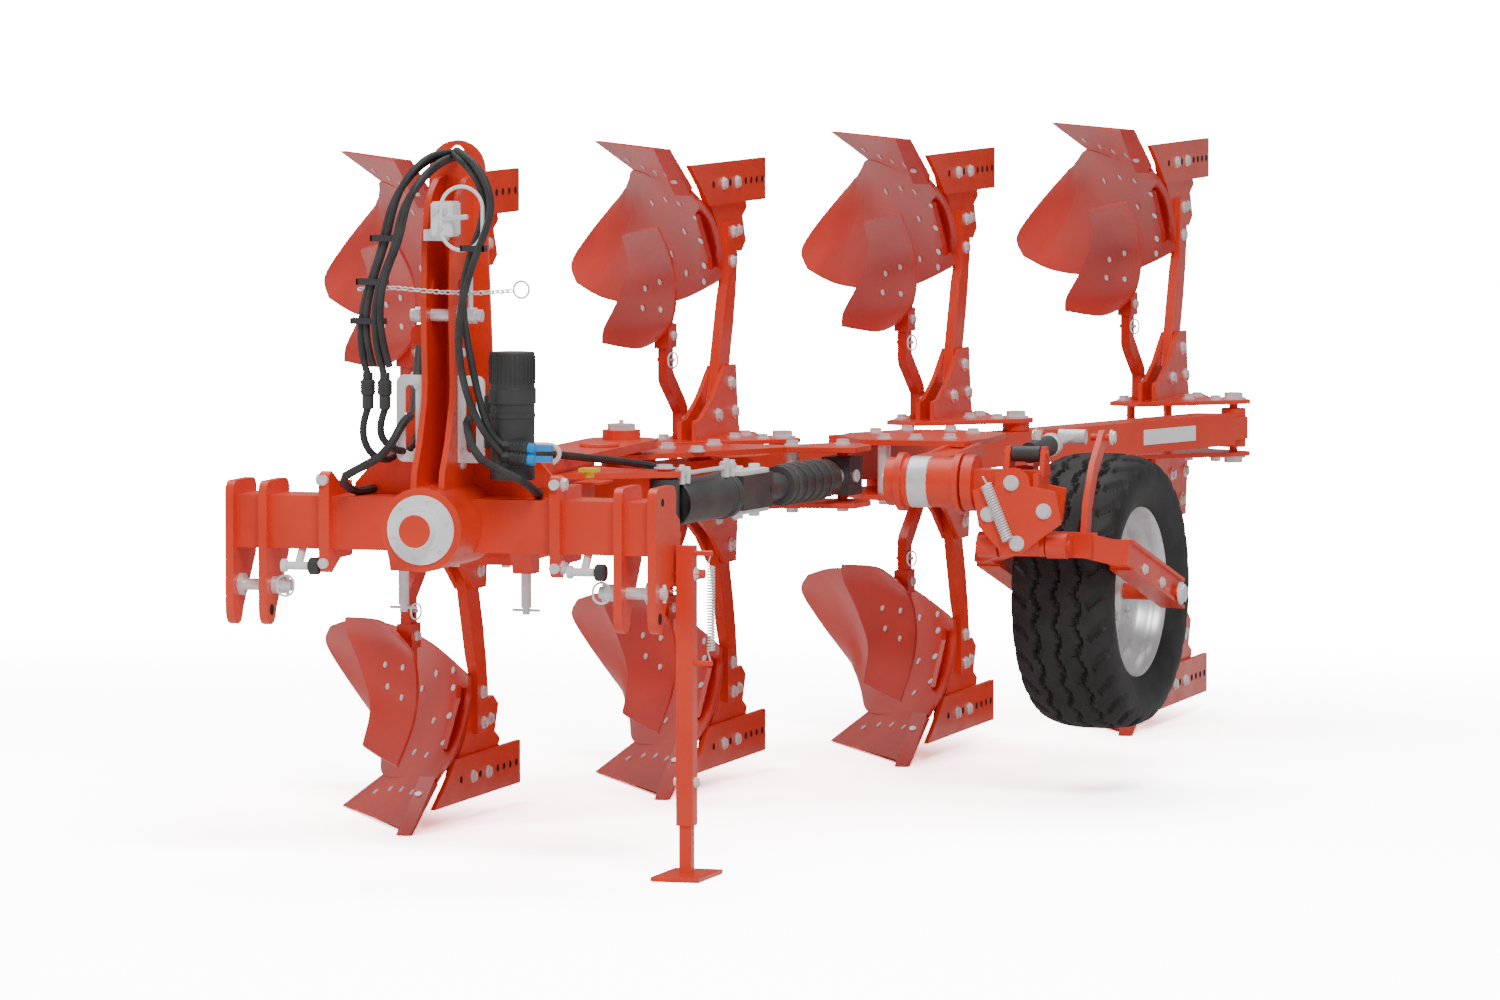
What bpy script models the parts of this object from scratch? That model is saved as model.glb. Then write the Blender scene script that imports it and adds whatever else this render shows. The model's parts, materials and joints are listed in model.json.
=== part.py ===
"""Four-furrow mounted reversible moldboard plough.

Origin: centre of the flat bearing cap at the front of the turnover axis.
+Y runs rearwards along that axis, +Z is up, +X is the left of the machine.
Each body has a mirrored twin above the axis, ready for the way back.
"""
import math

import bmesh
import bpy
from mathutils import Matrix, Vector

# ---- driving dimensions, metres -------------------------------------------
SEAT = 0.0003               # gap between faces that touch
AXIS_HEIGHT = 0.81          # turnover axis above the share edges
BODY_COUNT = 4
BODY_PITCH = 0.941          # from one share point to the next, along Y
FURROW = 0.3634             # from one share point to the next, along X
FIRST_TIP = (-0.374, 0.976)

BEAM_FRONT = 0.201          # headstock cross beam
BEAM_SIZE = 0.123
BEAM_HALF = 0.514
HOUSING_FRONT = 0.046
HOUSING_REAR = 0.346
HOUSING_RADIUS = 0.097
SHAFT_RADIUS = 0.041
SHAFT_PLAY = 0.0007
LINK_PLATE = 0.020
LINK_OUTER = BEAM_HALF - 0.015      # inner face of the outer plates
LINK_GAP = 0.061            # room for the tractor's lower link ball
LINK_PIN_RADIUS = 0.014
LINK_PIN = (0.221, -0.148)  # Y, Z of the lower link pins
CHEEK_OUTER = 0.0405        # mast cheeks
CHEEK_PLATE = 0.014
TOP_PIN_RADIUS = 0.0145
TOP_PIN = (0.211, 0.482)
BACK_PLATE_Y = 0.316
BACK_PLATE = 0.012

ARM_PLATE = 0.022           # swing arm on the turnover shaft
ARM_TOP = 0.110
ARM_SIDE = 0.090
ARM_FRONT = 0.446
PIVOT = (0.0, 1.606)        # vertical pin between arm and frame
PIVOT_RADIUS = 0.030
PIN_PLAY = 0.0007
FRAME_TOP = 0.076           # frame plates, above and below the beam
FRAME_PLATE = 0.0135
BRACKET_TOP = 0.076
BRACKET_PLATE = 0.0115
MAIN_WIDTH = 0.100          # main beam
MAIN_HEIGHT = 0.085
MAIN_OFFSET = 0.110         # beam line to the line of share points, along X
MAIN_START = 1.245
MAIN_END = FIRST_TIP[1] + (BODY_COUNT - 1) * BODY_PITCH + 0.251

LEG_WIDTH = 0.025
LEG_X = 0.040               # leg centre, from the share point
CHEEK_GAP_PLATE = 0.012
BOARD_PLATE = 0.008
STEM_WIDTH = 0.024
STEM_DEPTH = 0.055
STEM_X = -0.008

WHEEL_CENTRE = (1.020, 2.376, -0.300)
TYRE_RADIUS = 0.345
TYRE_WIDTH = 0.265
RIM_RADIUS = 0.205
WHEEL_TOE = math.radians(-5.5)

STAND_X = LINK_OUTER + 0.046
STAND_TOP = (0.336, -0.045)     # Y, Z of the leg's upper end
STAND_FOOT = (0.336, -0.80)
STAND_TUBE = 0.040
STAND_WALL = 0.005
STAND_PIVOT_Z = -0.110
STAND_OUTER_END = -0.69

RED = (0.80, 0.065, 0.022, 1.0)
STEEL = (0.75, 0.75, 0.76, 1.0)
DARK = (0.09, 0.09, 0.09, 1.0)
BLACK = (0.012, 0.012, 0.012, 1.0)

for old in list(bpy.data.objects):
    bpy.data.objects.remove(old, do_unlink=True)


# ---- small makers ----------------------------------------------------------
def material(name, color, rough, metal):
    made = bpy.data.materials.new(name)
    made.use_nodes = True
    shader = made.node_tree.nodes["Principled BSDF"]
    shader.inputs["Base Color"].default_value = color
    shader.inputs["Roughness"].default_value = rough
    shader.inputs["Metallic"].default_value = metal
    return made


PAINT = (RED, 0.40, 0.0)        # colour, roughness, metallic
ZINC = (STEEL, 0.30, 1.0)
GREY = (DARK, 0.45, 0.0)
RUBBER = (BLACK, 0.75, 0.0)


def from_bmesh(name, bm):
    bmesh.ops.recalc_face_normals(bm, faces=bm.faces)
    mesh = bpy.data.meshes.new(name)
    bm.to_mesh(mesh)
    bm.free()
    made = bpy.data.objects.new(name, mesh)
    bpy.context.scene.collection.objects.link(made)
    return made


def rings_to_solid(name, rings):
    """Join equal closed rings of points into one capped solid."""
    bm = bmesh.new()
    rows = [[bm.verts.new(p) for p in ring] for ring in rings]
    count = len(rows[0])
    for low, high in zip(rows, rows[1:]):
        for i in range(count):
            j = (i + 1) % count
            bm.faces.new((low[i], low[j], high[j], high[i]))
    bm.faces.new(rows[0])
    bm.faces.new(rows[-1])
    return from_bmesh(name, bm)


def plate(outline, axis, low, high):
    """Extrude an outline along one axis; its points use the other two axes in order."""
    place = {"x": lambda a, b, c: (c, a, b), "y": lambda a, b, c: (a, c, b),
             "z": lambda a, b, c: (a, b, c)}[axis]
    return rings_to_solid("plate", [[place(a, b, c) for a, b in outline] for c in (low, high)])


def box(low, high):
    return plate([(low[0], low[1]), (high[0], low[1]), (high[0], high[1]), (low[0], high[1])],
                 "z", low[2], high[2])


def rod(start, end, radius, sides=14, end_radius=None):
    start, end = Vector(start), Vector(end)
    turn = (end - start).to_track_quat("Z", "Y").to_matrix()
    rings = []
    for point, size in ((start, radius), (end, end_radius or radius)):
        rings.append([point + turn @ Vector((size * math.cos(a), size * math.sin(a), 0.0))
                      for a in (2 * math.pi * i / sides for i in range(sides))])
    return rings_to_solid("rod", rings)


def square_bar(start, end, width, height, side=Vector((1, 0, 0))):
    """Straight bar of rectangular section; width lies along side."""
    start, end = Vector(start), Vector(end)
    run = (end - start).normalized()
    across = (side - run * side.dot(run)).normalized() * (width / 2)
    up = run.cross(across).normalized() * (height / 2)
    rings = [[p + across + up, p - across + up, p - across - up, p + across - up]
             for p in (start, end)]
    return rings_to_solid("bar", rings)


def arc(centre, radius, start, end, steps):
    return [(centre[0] + radius * math.cos(math.radians(start + (end - start) * i / steps)),
             centre[1] + radius * math.sin(math.radians(start + (end - start) * i / steps)))
            for i in range(steps + 1)]


def turned(profile, centre, axis_turn, sides=28):
    """Closed profile of (radius, along) turned about an axis through centre."""
    bm = bmesh.new()
    rows = []
    for i in range(sides):
        a = 2 * math.pi * i / sides
        rows.append([bm.verts.new(Vector(centre) + axis_turn @ Vector(
            (along, r * math.cos(a), r * math.sin(a)))) for r, along in profile])
    for i in range(sides):
        row, following = rows[i], rows[(i + 1) % sides]
        for j in range(len(profile)):
            k = (j + 1) % len(profile)
            bm.faces.new((row[j], row[k], following[k], following[j]))
    return from_bmesh("turned", bm)


def piece(name, finish, solids, cuts=()):
    """One named sub-part: solids joined, then cutters taken away."""
    body = solids[0]
    body.name = name
    body.data.name = name
    body.data.materials.append(material(name + "_finish", *finish))
    for mode, group in (("UNION", solids[1:]), ("DIFFERENCE", cuts)):
        for tool in group:
            tool.name = name + ".tool"
            tool.hide_render = True
            tool.display_type = "WIRE"
            change = body.modifiers.new(mode.lower(), "BOOLEAN")
            change.operation = mode
            change.solver = "EXACT"
            change.object = tool
    return body


def through(points, t):
    """Smooth curve through the points, t from 0 to 1."""
    last = len(points) - 1
    at = min(t * last, last - 1e-9)
    i = int(at)
    f = at - i
    p = [Vector(points[max(0, min(last, i + k))]) for k in (-1, 0, 1, 2)]
    return 0.5 * (2 * p[1] + (p[2] - p[0]) * f + (2 * p[0] - 5 * p[1] + 4 * p[2] - p[3]) * f * f
                  + (3 * p[1] - p[0] - 3 * p[2] + p[3]) * f ** 3)


def shell(grid, thickness):
    """Thicken a grid of surface points to one closed sheet."""
    rows, cols = len(grid), len(grid[0])

    def normal(i, j):
        a = grid[min(i + 1, rows - 1)][j] - grid[max(i - 1, 0)][j]
        b = grid[i][min(j + 1, cols - 1)] - grid[i][max(j - 1, 0)]
        return a.cross(b).normalized()

    bm = bmesh.new()
    front = [[bm.verts.new(grid[i][j]) for j in range(cols)] for i in range(rows)]
    back = [[bm.verts.new(grid[i][j] + normal(i, j) * thickness) for j in range(cols)]
            for i in range(rows)]
    for i in range(rows - 1):
        for j in range(cols - 1):
            for side in (front, back):
                bm.faces.new((side[i][j], side[i + 1][j], side[i + 1][j + 1], side[i][j + 1]))
    edge = ([(i, 0) for i in range(rows)] + [(rows - 1, j) for j in range(1, cols)]
            + [(i, cols - 1) for i in range(rows - 2, -1, -1)]
            + [(0, j) for j in range(cols - 2, 0, -1)])
    for (a, b), (c, d) in zip(edge, edge[1:] + edge[:1]):
        bm.faces.new((front[a][b], front[c][d], back[c][d], back[a][b]))
    return from_bmesh("shell", bm)


# ---- headstock -------------------------------------------------------------
BEAM_Z = BEAM_SIZE / 2
BEAM_REAR = BEAM_FRONT + BEAM_SIZE
LINK_INNER = LINK_OUTER - LINK_GAP - LINK_PLATE


def link_plate(x):
    outline = (arc((0.211, -0.205), 0.035, 180, 360, 6) + [(0.336, -0.080), (0.340, 0.060)]
               + arc((0.315, 0.068), 0.026, 0, 90, 3) + arc((0.202, 0.068), 0.026, 90, 180, 3))
    return plate(outline, "x", x, x + LINK_PLATE)


def clamp_plate(x):
    outline = (arc((0.200, -0.091), 0.024, 180, 270, 3) + [(0.260, -0.085), (0.345, -0.085)]
               + [(0.356, 0.0), (0.345, 0.090), (0.260, 0.090)]
               + arc((0.200, 0.096), 0.024, 90, 180, 3) + [(0.176, 0.0)])
    return plate(outline, "x", x, x + 0.025)


def stop_lug(side):
    x = sorted((side * 0.124, side * 0.174))
    outline = [(0.310, -0.045), (0.380, -0.062), (0.392, -0.078), (0.392, -0.120),
               (0.345, -0.120), (0.332, -0.090), (0.310, -0.060)]
    return plate(outline, "x", x[0], x[1])


def headstock():
    parts = [box((-BEAM_HALF, BEAM_FRONT, -BEAM_Z), (BEAM_HALF, BEAM_REAR, BEAM_Z)),
             rod((0, HOUSING_FRONT, 0), (0, HOUSING_REAR, 0), HOUSING_RADIUS, 28)]
    for x in (-LINK_OUTER - LINK_PLATE, -LINK_INNER - LINK_PLATE, LINK_INNER, LINK_OUTER):
        parts.append(link_plate(x))
    parts += [clamp_plate(-0.291), clamp_plate(0.265), stop_lug(-1), stop_lug(1)]
    # bracket of the parking stand, behind the left outer link plate
    parts.append(plate([(0.310, 0.045), (0.372, 0.010), (0.374, -0.120), (0.350, -0.142),
                        (0.300, -0.138), (0.280, -0.060)], "x", LINK_OUTER + 0.001,
                       LINK_OUTER + LINK_PLATE - 0.0005))
    bore = rod((0, HOUSING_FRONT - 0.01, 0), (0, HOUSING_REAR + 0.01, 0),
               SHAFT_RADIUS + SHAFT_PLAY, 28)
    pin_y, pin_z = LINK_PIN
    cuts = [bore]
    for side in (-1, 1):
        cuts.append(rod((side * 0.38, pin_y, pin_z), (side * 0.56, pin_y, pin_z),
                        LINK_PIN_RADIUS + SEAT, 14))
    stand_y = stand_at(STAND_PIVOT_Z)
    cuts.append(rod((0.45, stand_y, STAND_PIVOT_Z), (0.56, stand_y, STAND_PIVOT_Z),
                    0.008 + SEAT, 12))
    return piece("headstock", PAINT, parts, cuts)


def stand_at(z):
    f = (z - STAND_FOOT[1]) / (STAND_TOP[1] - STAND_FOOT[1])
    return STAND_FOOT[0] + f * (STAND_TOP[0] - STAND_FOOT[0])


def bearing_cover():
    profile = [(0.0, 0.0), (0.041, 0.0), (0.041, 0.036), (0.052, 0.036), (0.054, 0.040),
               (0.080, 0.041), (0.080, HOUSING_FRONT - SEAT), (0.0, HOUSING_FRONT - SEAT)]
    bm = bmesh.new()
    axis_low = bm.verts.new((0, 0, 0))
    axis_high = bm.verts.new((0, HOUSING_FRONT - SEAT, 0))
    sides = 28
    rows = []
    for i in range(sides):
        a = 2 * math.pi * i / sides
        rows.append([bm.verts.new((r * math.cos(a), y, r * math.sin(a)))
                     for r, y in profile[1:-1]])
    for i in range(sides):
        row, following = rows[i], rows[(i + 1) % sides]
        bm.faces.new((axis_low, row[0], following[0]))
        for j in range(len(row) - 1):
            bm.faces.new((row[j], row[j + 1], following[j + 1], following[j]))
        bm.faces.new((row[-1], axis_high, following[-1]))
    return piece("bearing_cover", ZINC, [from_bmesh("cover", bm)])


def mast():
    front = [(0.093, 0.060), (0.093, 0.095), (0.099, 0.128), (0.136, 0.190), (0.173, 0.285),
             (0.178, 0.333), (0.169, 0.482), (0.176, 0.632), (0.194, 0.725), (0.226, 0.767),
             (0.266, 0.792), (BACK_PLATE_Y + 0.004, 0.800)]
    rear = [(BACK_PLATE_Y + 0.004, 0.055)]
    parts = []
    for x in (-CHEEK_OUTER, CHEEK_OUTER - CHEEK_PLATE):
        parts.append(plate(front + rear, "x", x, x + CHEEK_PLATE))
    head = (arc((0.0, 0.813), 0.067, 0, 180, 12)
            + [(-0.078, 0.570), (-0.085, 0.350), (0.085, 0.350), (0.078, 0.570)])
    parts.append(plate(head, "y", BACK_PLATE_Y, BACK_PLATE_Y + BACK_PLATE))
    gusset = [(-0.250, 0.050), (0.250, 0.050), (0.250, 0.085), (0.150, 0.196), (0.088, 0.270),
              (0.083, 0.360), (-0.083, 0.360), (-0.088, 0.270), (-0.150, 0.196), (-0.250, 0.085)]
    parts.append(plate(gusset, "y", BACK_PLATE_Y + 0.0005, BACK_PLATE_Y + BACK_PLATE - 0.0005))
    # ears that carry the head of the turnover cylinder
    ear = arc((TURN_TOP[0], TURN_TOP[1]), 0.026, 60, 270, 8) + [(-0.040, 0.380), (-0.040, 0.47)]
    parts.append(plate(ear, "y", BACK_PLATE_Y + 0.004, 0.346))
    parts.append(rod((TURN_TOP[0], 0.340, TURN_TOP[1]),
                     (TURN_TOP[0], TURN_PLANE - TURN_EYE / 2 - SEAT, TURN_TOP[1]), 0.016, 12))
    parts.append(rod((TURN_TOP[0], BACK_PLATE_Y + 0.006, TURN_TOP[1]),
                     (TURN_TOP[0], TURN_PLANE + TURN_EYE / 2 + 0.008, TURN_TOP[1]), 0.012, 12))
    cuts = [rod((0, 0.0, 0), (0, HOUSING_REAR + 0.05, 0), HOUSING_RADIUS + SEAT, 28),
            box((-0.3, BEAM_FRONT - SEAT, -0.2), (0.3, BEAM_REAR + SEAT, BEAM_Z + SEAT)),
            rod((-0.1, TOP_PIN[0], TOP_PIN[1]), (0.1, TOP_PIN[0], TOP_PIN[1]),
                TOP_PIN_RADIUS + SEAT, 14),
            rod((0, BACK_PLATE_Y - 0.02, 0.850), (0, BACK_PLATE_Y + 0.04, 0.850), 0.0185, 12),
            rod((-0.1, TOP_PIN[0] + 0.002, 0.552), (0.1, TOP_PIN[0] + 0.002, 0.552), 0.013, 12)]
    return piece("mast", PAINT, parts, cuts)


def top_link_pin():
    y, z = TOP_PIN
    parts = [rod((-0.076, y, z), (0.095, y, z), TOP_PIN_RADIUS, 14),
             rod((-0.064, y, z), (-0.052, y, z), 0.019, 14),
             rod((CHEEK_OUTER + 0.012, y, z), (CHEEK_OUTER + 0.040, y, z), 0.019, 14),
             rod((CHEEK_OUTER + 0.026, y, z), (CHEEK_OUTER + 0.026, y, z + 0.095), 0.006, 10)]
    return piece("top_link_pin", ZINC, parts)


def link_pin(side):
    y, z = LINK_PIN
    outer = LINK_OUTER + LINK_PLATE
    parts = [rod((side * (LINK_INNER - 0.046), y, z), (side * (outer + 0.012), y, z),
                 LINK_PIN_RADIUS, 14),
             rod((side * (LINK_OUTER - SEAT), y, z), (side * (LINK_OUTER - 0.013), y, z),
                 0.026, 14),
             rod((side * (LINK_INNER - SEAT), y, z), (side * (LINK_INNER - 0.030), y, z),
                 0.020, 14)]
    return piece("link_pin_left" if side > 0 else "link_pin_right", ZINC, parts)


def hose_plate(side):
    inner = CHEEK_OUTER + SEAT
    outer = 0.107
    low, high = 0.145, 0.345
    corner = 0.018
    outline = ([(inner, low), (outer - corner, low)]
               + arc((outer - corner, low + corner), corner, -90, 0, 3)
               + arc((outer - corner, high - corner), corner, 0, 90, 3) + [(inner, high)])
    slot_x, slot_r = 0.073, 0.0125
    slot = (arc((slot_x, low + 0.035), slot_r, 180, 360, 6)
            + arc((slot_x, high - 0.035), slot_r, 0, 180, 6))
    front = 0.191
    body = plate([(side * a, b) for a, b in outline], "y", front, front + 0.006)
    tab = box((min(side * inner, side * (inner + 0.006)), front + 0.003, 0.180),
              (max(side * inner, side * (inner + 0.006)), front + 0.040, 0.310))
    cut = plate([(side * a, b) for a, b in slot], "y", front - 0.01, front + 0.02)
    return piece("hose_plate_left" if side > 0 else "hose_plate_right", ZINC,
                 [body, tab], [cut])


def canister():
    x, y, low, high = 0.171, 0.196, 0.109, 0.401
    radius = 0.0515
    parts = [rod((x, y, low), (x, y, high - 0.08), radius, 20),
             rod((x, y, high - 0.082), (x, y, high), radius + 0.0005, 20),
             rod((x, y, high - 0.118), (x, y, high - 0.082), radius + 0.0035, 20),
             box((0.107 + SEAT, y - 0.012, 0.180), (x - 0.02, y + 0.012, 0.300))]
    return piece("document_canister", GREY, parts)


def stop_screw(side):
    x, y = side * 0.149, 0.368
    parts = [rod((x, y, -0.120 - SEAT), (x, y, -0.200), 0.0125, 12),
             rod((x, y, -0.199), (x, y, -0.216), 0.009, 12),
             rod((x - 0.033, y, -0.206), (x + 0.033, y, -0.206), 0.0035, 8)]
    return piece("stop_screw_left" if side > 0 else "stop_screw_right", ZINC, parts)


# ---- parking stand ---------------------------------------------------------
def stand_leg():
    end_y = stand_at(STAND_OUTER_END)
    parts = [square_bar((STAND_X, end_y, STAND_OUTER_END), (STAND_X, *STAND_TOP),
                        STAND_TUBE, STAND_TUBE)]
    pivot_y = stand_at(STAND_PIVOT_Z)
    parts.append(rod((LINK_OUTER - 0.014, pivot_y, STAND_PIVOT_Z),
                     (STAND_X, pivot_y, STAND_PIVOT_Z), 0.008, 12))
    parts.append(rod((LINK_OUTER - 0.020, pivot_y, STAND_PIVOT_Z),
                     (LINK_OUTER - SEAT, pivot_y, STAND_PIVOT_Z), 0.014, 6))
    parts.append(rod((STAND_X, pivot_y, STAND_PIVOT_Z), (STAND_X + 0.044, pivot_y, STAND_PIVOT_Z),
                     0.012, 6))
    low_y = stand_at(-0.315)
    parts.append(rod((STAND_X, low_y, -0.315), (STAND_X + 0.062, low_y, -0.315), 0.006, 10))
    top_y = stand_at(-0.062)
    parts.append(rod((STAND_X, top_y, -0.062), (STAND_X + 0.062, top_y, -0.062), 0.007, 10))
    hollow = STAND_TUBE - 2 * STAND_WALL
    deep_y = stand_at(-0.36)
    out_y = stand_at(STAND_OUTER_END - 0.02)
    cut = square_bar((STAND_X, out_y, STAND_OUTER_END - 0.02), (STAND_X, deep_y, -0.36),
                     hollow, hollow)
    return piece("stand_leg", PAINT, parts, [cut])


def stand_foot():
    inner = STAND_TUBE - 2 * STAND_WALL - 2 * SEAT
    top_z = -0.50
    parts = [square_bar((STAND_X, stand_at(-AXIS_HEIGHT + 0.006), -AXIS_HEIGHT + 0.006),
                        (STAND_X, stand_at(top_z), top_z), inner, inner),
             box((STAND_X - 0.058, STAND_FOOT[0] - 0.100, -AXIS_HEIGHT),
                 (STAND_X + 0.058, STAND_FOOT[0] + 0.100, -AXIS_HEIGHT + 0.010))]
    return piece("stand_foot", PAINT, parts)


# ---- turnover cylinder -----------------------------------------------------
TURN_PLANE = 0.381          # Y of the cylinder's centre line
TURN_TOP = (-0.090, 0.430)  # X, Z of its head pin on the mast
CRANK = (-0.130, 0.0)       # X, Z of its rod pin on the crank at rest
TURN_EYE = 0.030
TURN_BARREL = 0.029


def along(start, end, distance):
    run = (Vector(end) - Vector(start)).normalized()
    return Vector(start) + run * distance


def turnover_cylinder():
    top = Vector((TURN_TOP[0], TURN_PLANE, TURN_TOP[1]))
    low = Vector((CRANK[0], TURN_PLANE, CRANK[1]))
    half = Vector((0, TURN_EYE / 2, 0))
    eye = rod(top - half, top + half, 0.026, 14)
    body = rod(along(top, low, 0.022), along(top, low, 0.250), TURN_BARREL, 16)
    hole = rod(top - 4 * half, top + 4 * half, 0.012 + PIN_PLAY, 14)
    bore = rod(along(top, low, 0.026), along(top, low, 0.29), 0.014 + PIN_PLAY, 12)
    piece("turnover_cylinder", GREY, [eye, body], [hole, bore])
    rod_eye = rod(low - half, low + half, 0.024, 14)
    stem = rod(along(top, low, 0.192), low, 0.014, 12)
    pin = rod(low - half * 1.3, low + half * 1.04, 0.012, 12)
    piece("turnover_rod", ZINC, [stem, rod_eye, pin])


# ---- turning arm -----------------------------------------------------------
def turning_arm():
    crank = TURN_PLANE + TURN_EYE / 2 + 0.006
    cx, cz = CRANK
    parts = [rod((0, HOUSING_FRONT + 0.002, 0), (0, ARM_FRONT + 0.03, 0), SHAFT_RADIUS, 28),
             plate(arc((cx, cz), 0.030, 90, 270, 8) + arc((0, 0), 0.075, -80, 80, 8), "y",
                   crank, crank + 0.022),
             rod((0, crank + 0.020, 0), (0, ARM_FRONT + 0.02, 0), 0.070, 20)]
    px, py = PIVOT
    outline = ([(-ARM_SIDE, ARM_FRONT), (ARM_SIDE, ARM_FRONT)]
               + arc((px, py), ARM_SIDE, 0, 180, 10))
    for low in (-ARM_TOP, ARM_TOP - ARM_PLATE):
        parts.append(plate(outline, "z", low, low + ARM_PLATE))
    # webs and front wall of the box
    inner = ARM_TOP - 0.004
    for side in (-1, 1):
        x = sorted((side * 0.068, side * 0.082))
        parts.append(box((x[0], ARM_FRONT + 0.001, -inner), (x[1], 1.120, inner)))
    parts.append(box((-0.080, ARM_FRONT + 0.001, -inner), (0.080, ARM_FRONT + 0.019, inner)))
    # pivot pin and its heads
    parts += [rod((px, py, -ARM_TOP - 0.0225), (px, py, ARM_TOP + 0.0225), PIVOT_RADIUS, 20),
              rod((px, py, ARM_TOP - 0.002), (px, py, ARM_TOP + 0.0225), 0.047, 20),
              rod((px, py, -ARM_TOP - 0.0225), (px, py, -ARM_TOP + 0.002), 0.047, 20)]
    # ears that hold the front end of the swing strut
    sx, sy = STRUT_FRONT
    for low, high in ((-0.079, -0.065), (0.065, 0.079)):
        ear = ([(0.076, sy - 0.170), (0.160, sy - 0.130), (sx, sy - 0.040)]
               + arc((sx, sy), 0.040, -60, 90, 6) + [(0.180, sy + 0.060), (0.076, sy + 0.130)])
        parts.append(plate(ear, "z", low, high))
    parts.append(rod((sx, sy, -0.085), (sx, sy, 0.085), STRUT_PIN, 14))
    return piece("turning_arm", PAINT, parts)


# ---- swing strut: swing cylinder with the width cylinder on its rod ---------
STRUT_FRONT = (0.300, 0.976)
STRUT_REAR = (0.440, 2.046)
STRUT_PIN = 0.016
STRUT_EYE_PLAY = 0.008      # open pivot: room for the eye to drift as the frame swings


def strut_point(distance, z=0.0):
    a = Vector((STRUT_FRONT[0], STRUT_FRONT[1], z))
    b = Vector((STRUT_REAR[0], STRUT_REAR[1], z))
    return a + (b - a).normalized() * distance


def swing_strut():
    sx, sy = STRUT_FRONT
    rx, ry = STRUT_REAR
    total = (Vector(STRUT_REAR) - Vector(STRUT_FRONT)).length
    parts = [rod(strut_point(0.030), strut_point(0.345), 0.055, 20),
             rod(strut_point(0.335), strut_point(0.385), 0.043, 16, 0.034),
             rod((sx, sy, -0.060), (sx, sy, 0.060), 0.036, 16)]
    cuts = [rod((sx, sy, -0.1), (sx, sy, 0.1), STRUT_PIN + PIN_PLAY, 14),
            rod(strut_point(0.060), strut_point(0.42), 0.024 + PIN_PLAY, 14)]
    piece("swing_cylinder", GREY, parts, cuts)
    parts = [rod(strut_point(0.190), strut_point(0.440), 0.024, 14),
             square_bar(strut_point(0.395), strut_point(0.575), 0.062, 0.084),
             rod(strut_point(0.560), strut_point(0.690), 0.034, 14),
             rod(strut_point(0.670), strut_point(0.965), 0.048, 20),
             rod(strut_point(0.955), strut_point(total - 0.02), 0.022, 14),
             square_bar(strut_point(total - 0.045), strut_point(total + 0.038), 0.074, 0.094)]
    cuts = [rod((rx, ry, -0.1), (rx, ry, 0.1), 0.014 + STRUT_EYE_PLAY, 14)]
    piece("width_cylinder", GREY, parts, cuts)


# ---- frame -----------------------------------------------------------------
SLOPE = FURROW / BODY_PITCH


def tip_line(y):
    return FIRST_TIP[0] + (y - FIRST_TIP[1]) * SLOPE


def tip(k):
    return (FIRST_TIP[0] + k * FURROW, FIRST_TIP[1] + k * BODY_PITCH)


def beam_x(y):
    return tip_line(y) + MAIN_OFFSET


def beam_half_x():
    return MAIN_WIDTH / 2 * math.hypot(1.0, SLOPE)


def main_beam():
    half = beam_half_x()
    outline = [(beam_x(MAIN_START) - half, MAIN_START), (beam_x(MAIN_START) + half, MAIN_START),
               (beam_x(MAIN_END) + half, MAIN_END), (beam_x(MAIN_END) - half, MAIN_END)]
    z = MAIN_HEIGHT / 2
    px, py = PIVOT
    ex, ey = bush(BODY_COUNT - 1)
    parts = [plate(outline, "z", -z, z),
             # end clevis lug and the upright bush of the last bracket
             plate([(ex - 0.135, ey - 0.160), (ex - 0.010, ey - 0.160), (ex + 0.040, ey),
                    (ex - 0.030, ey + 0.035), (ex - 0.090, ey - 0.020)], "z", -0.030, 0.030),
             rod((ex, ey, -0.052), (ex, ey, 0.052), 0.034, 16)]
    cuts = [rod((px, py, -0.1), (px, py, 0.1), PIVOT_RADIUS + PIN_PLAY, 20),
            rod((ex, ey, -0.1), (ex, ey, 0.1), 0.012 + SEAT, 12)]
    return piece("main_beam", PAINT, parts, cuts)


def bush(k):
    x, y = tip(k)
    return (x + 0.237, y + 0.331)


def front_frame():
    px, py = PIVOT
    rx, ry = STRUT_REAR
    outline = (arc((px, py), 0.085, 180, 330, 10) + [(0.330, 1.926), (0.500, 1.946),
               (0.510, 2.060), (0.470, 2.115), (0.390, 2.115), (0.300, 2.003), (0.060, 2.003),
               (-0.030, 1.800)])
    parts = []
    for low in (-FRAME_TOP, FRAME_TOP - FRAME_PLATE):
        parts.append(plate(outline, "z", low, low + FRAME_PLATE))
    # bush collars between the beam, the plates and the arm
    seat = MAIN_HEIGHT / 2 + SEAT
    tall = ARM_TOP - ARM_PLATE - 0.0008
    parts.append(rod((px, py, seat), (px, py, tall), 0.050, 20))
    parts.append(rod((px, py, -tall), (px, py, -seat), 0.050, 20))
    inner = FRAME_TOP - 0.005
    for y in (1.72, 1.93):
        parts.append(rod((beam_x(y), y, seat), (beam_x(y), y, inner), 0.030, 14))
        parts.append(rod((beam_x(y), y, -inner), (beam_x(y), y, -seat), 0.030, 14))
    parts.append(rod((0.330, 1.975, -inner), (0.330, 1.975, inner), 0.014, 12))
    # upright pin of the width cylinder's block
    parts.append(rod((rx, ry, -inner), (rx, ry, inner), 0.014, 14))
    cuts = [rod((px, py, -0.12), (px, py, 0.12), PIVOT_RADIUS + PIN_PLAY, 20)]
    piece("front_frame", PAINT, parts, cuts)


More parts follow.
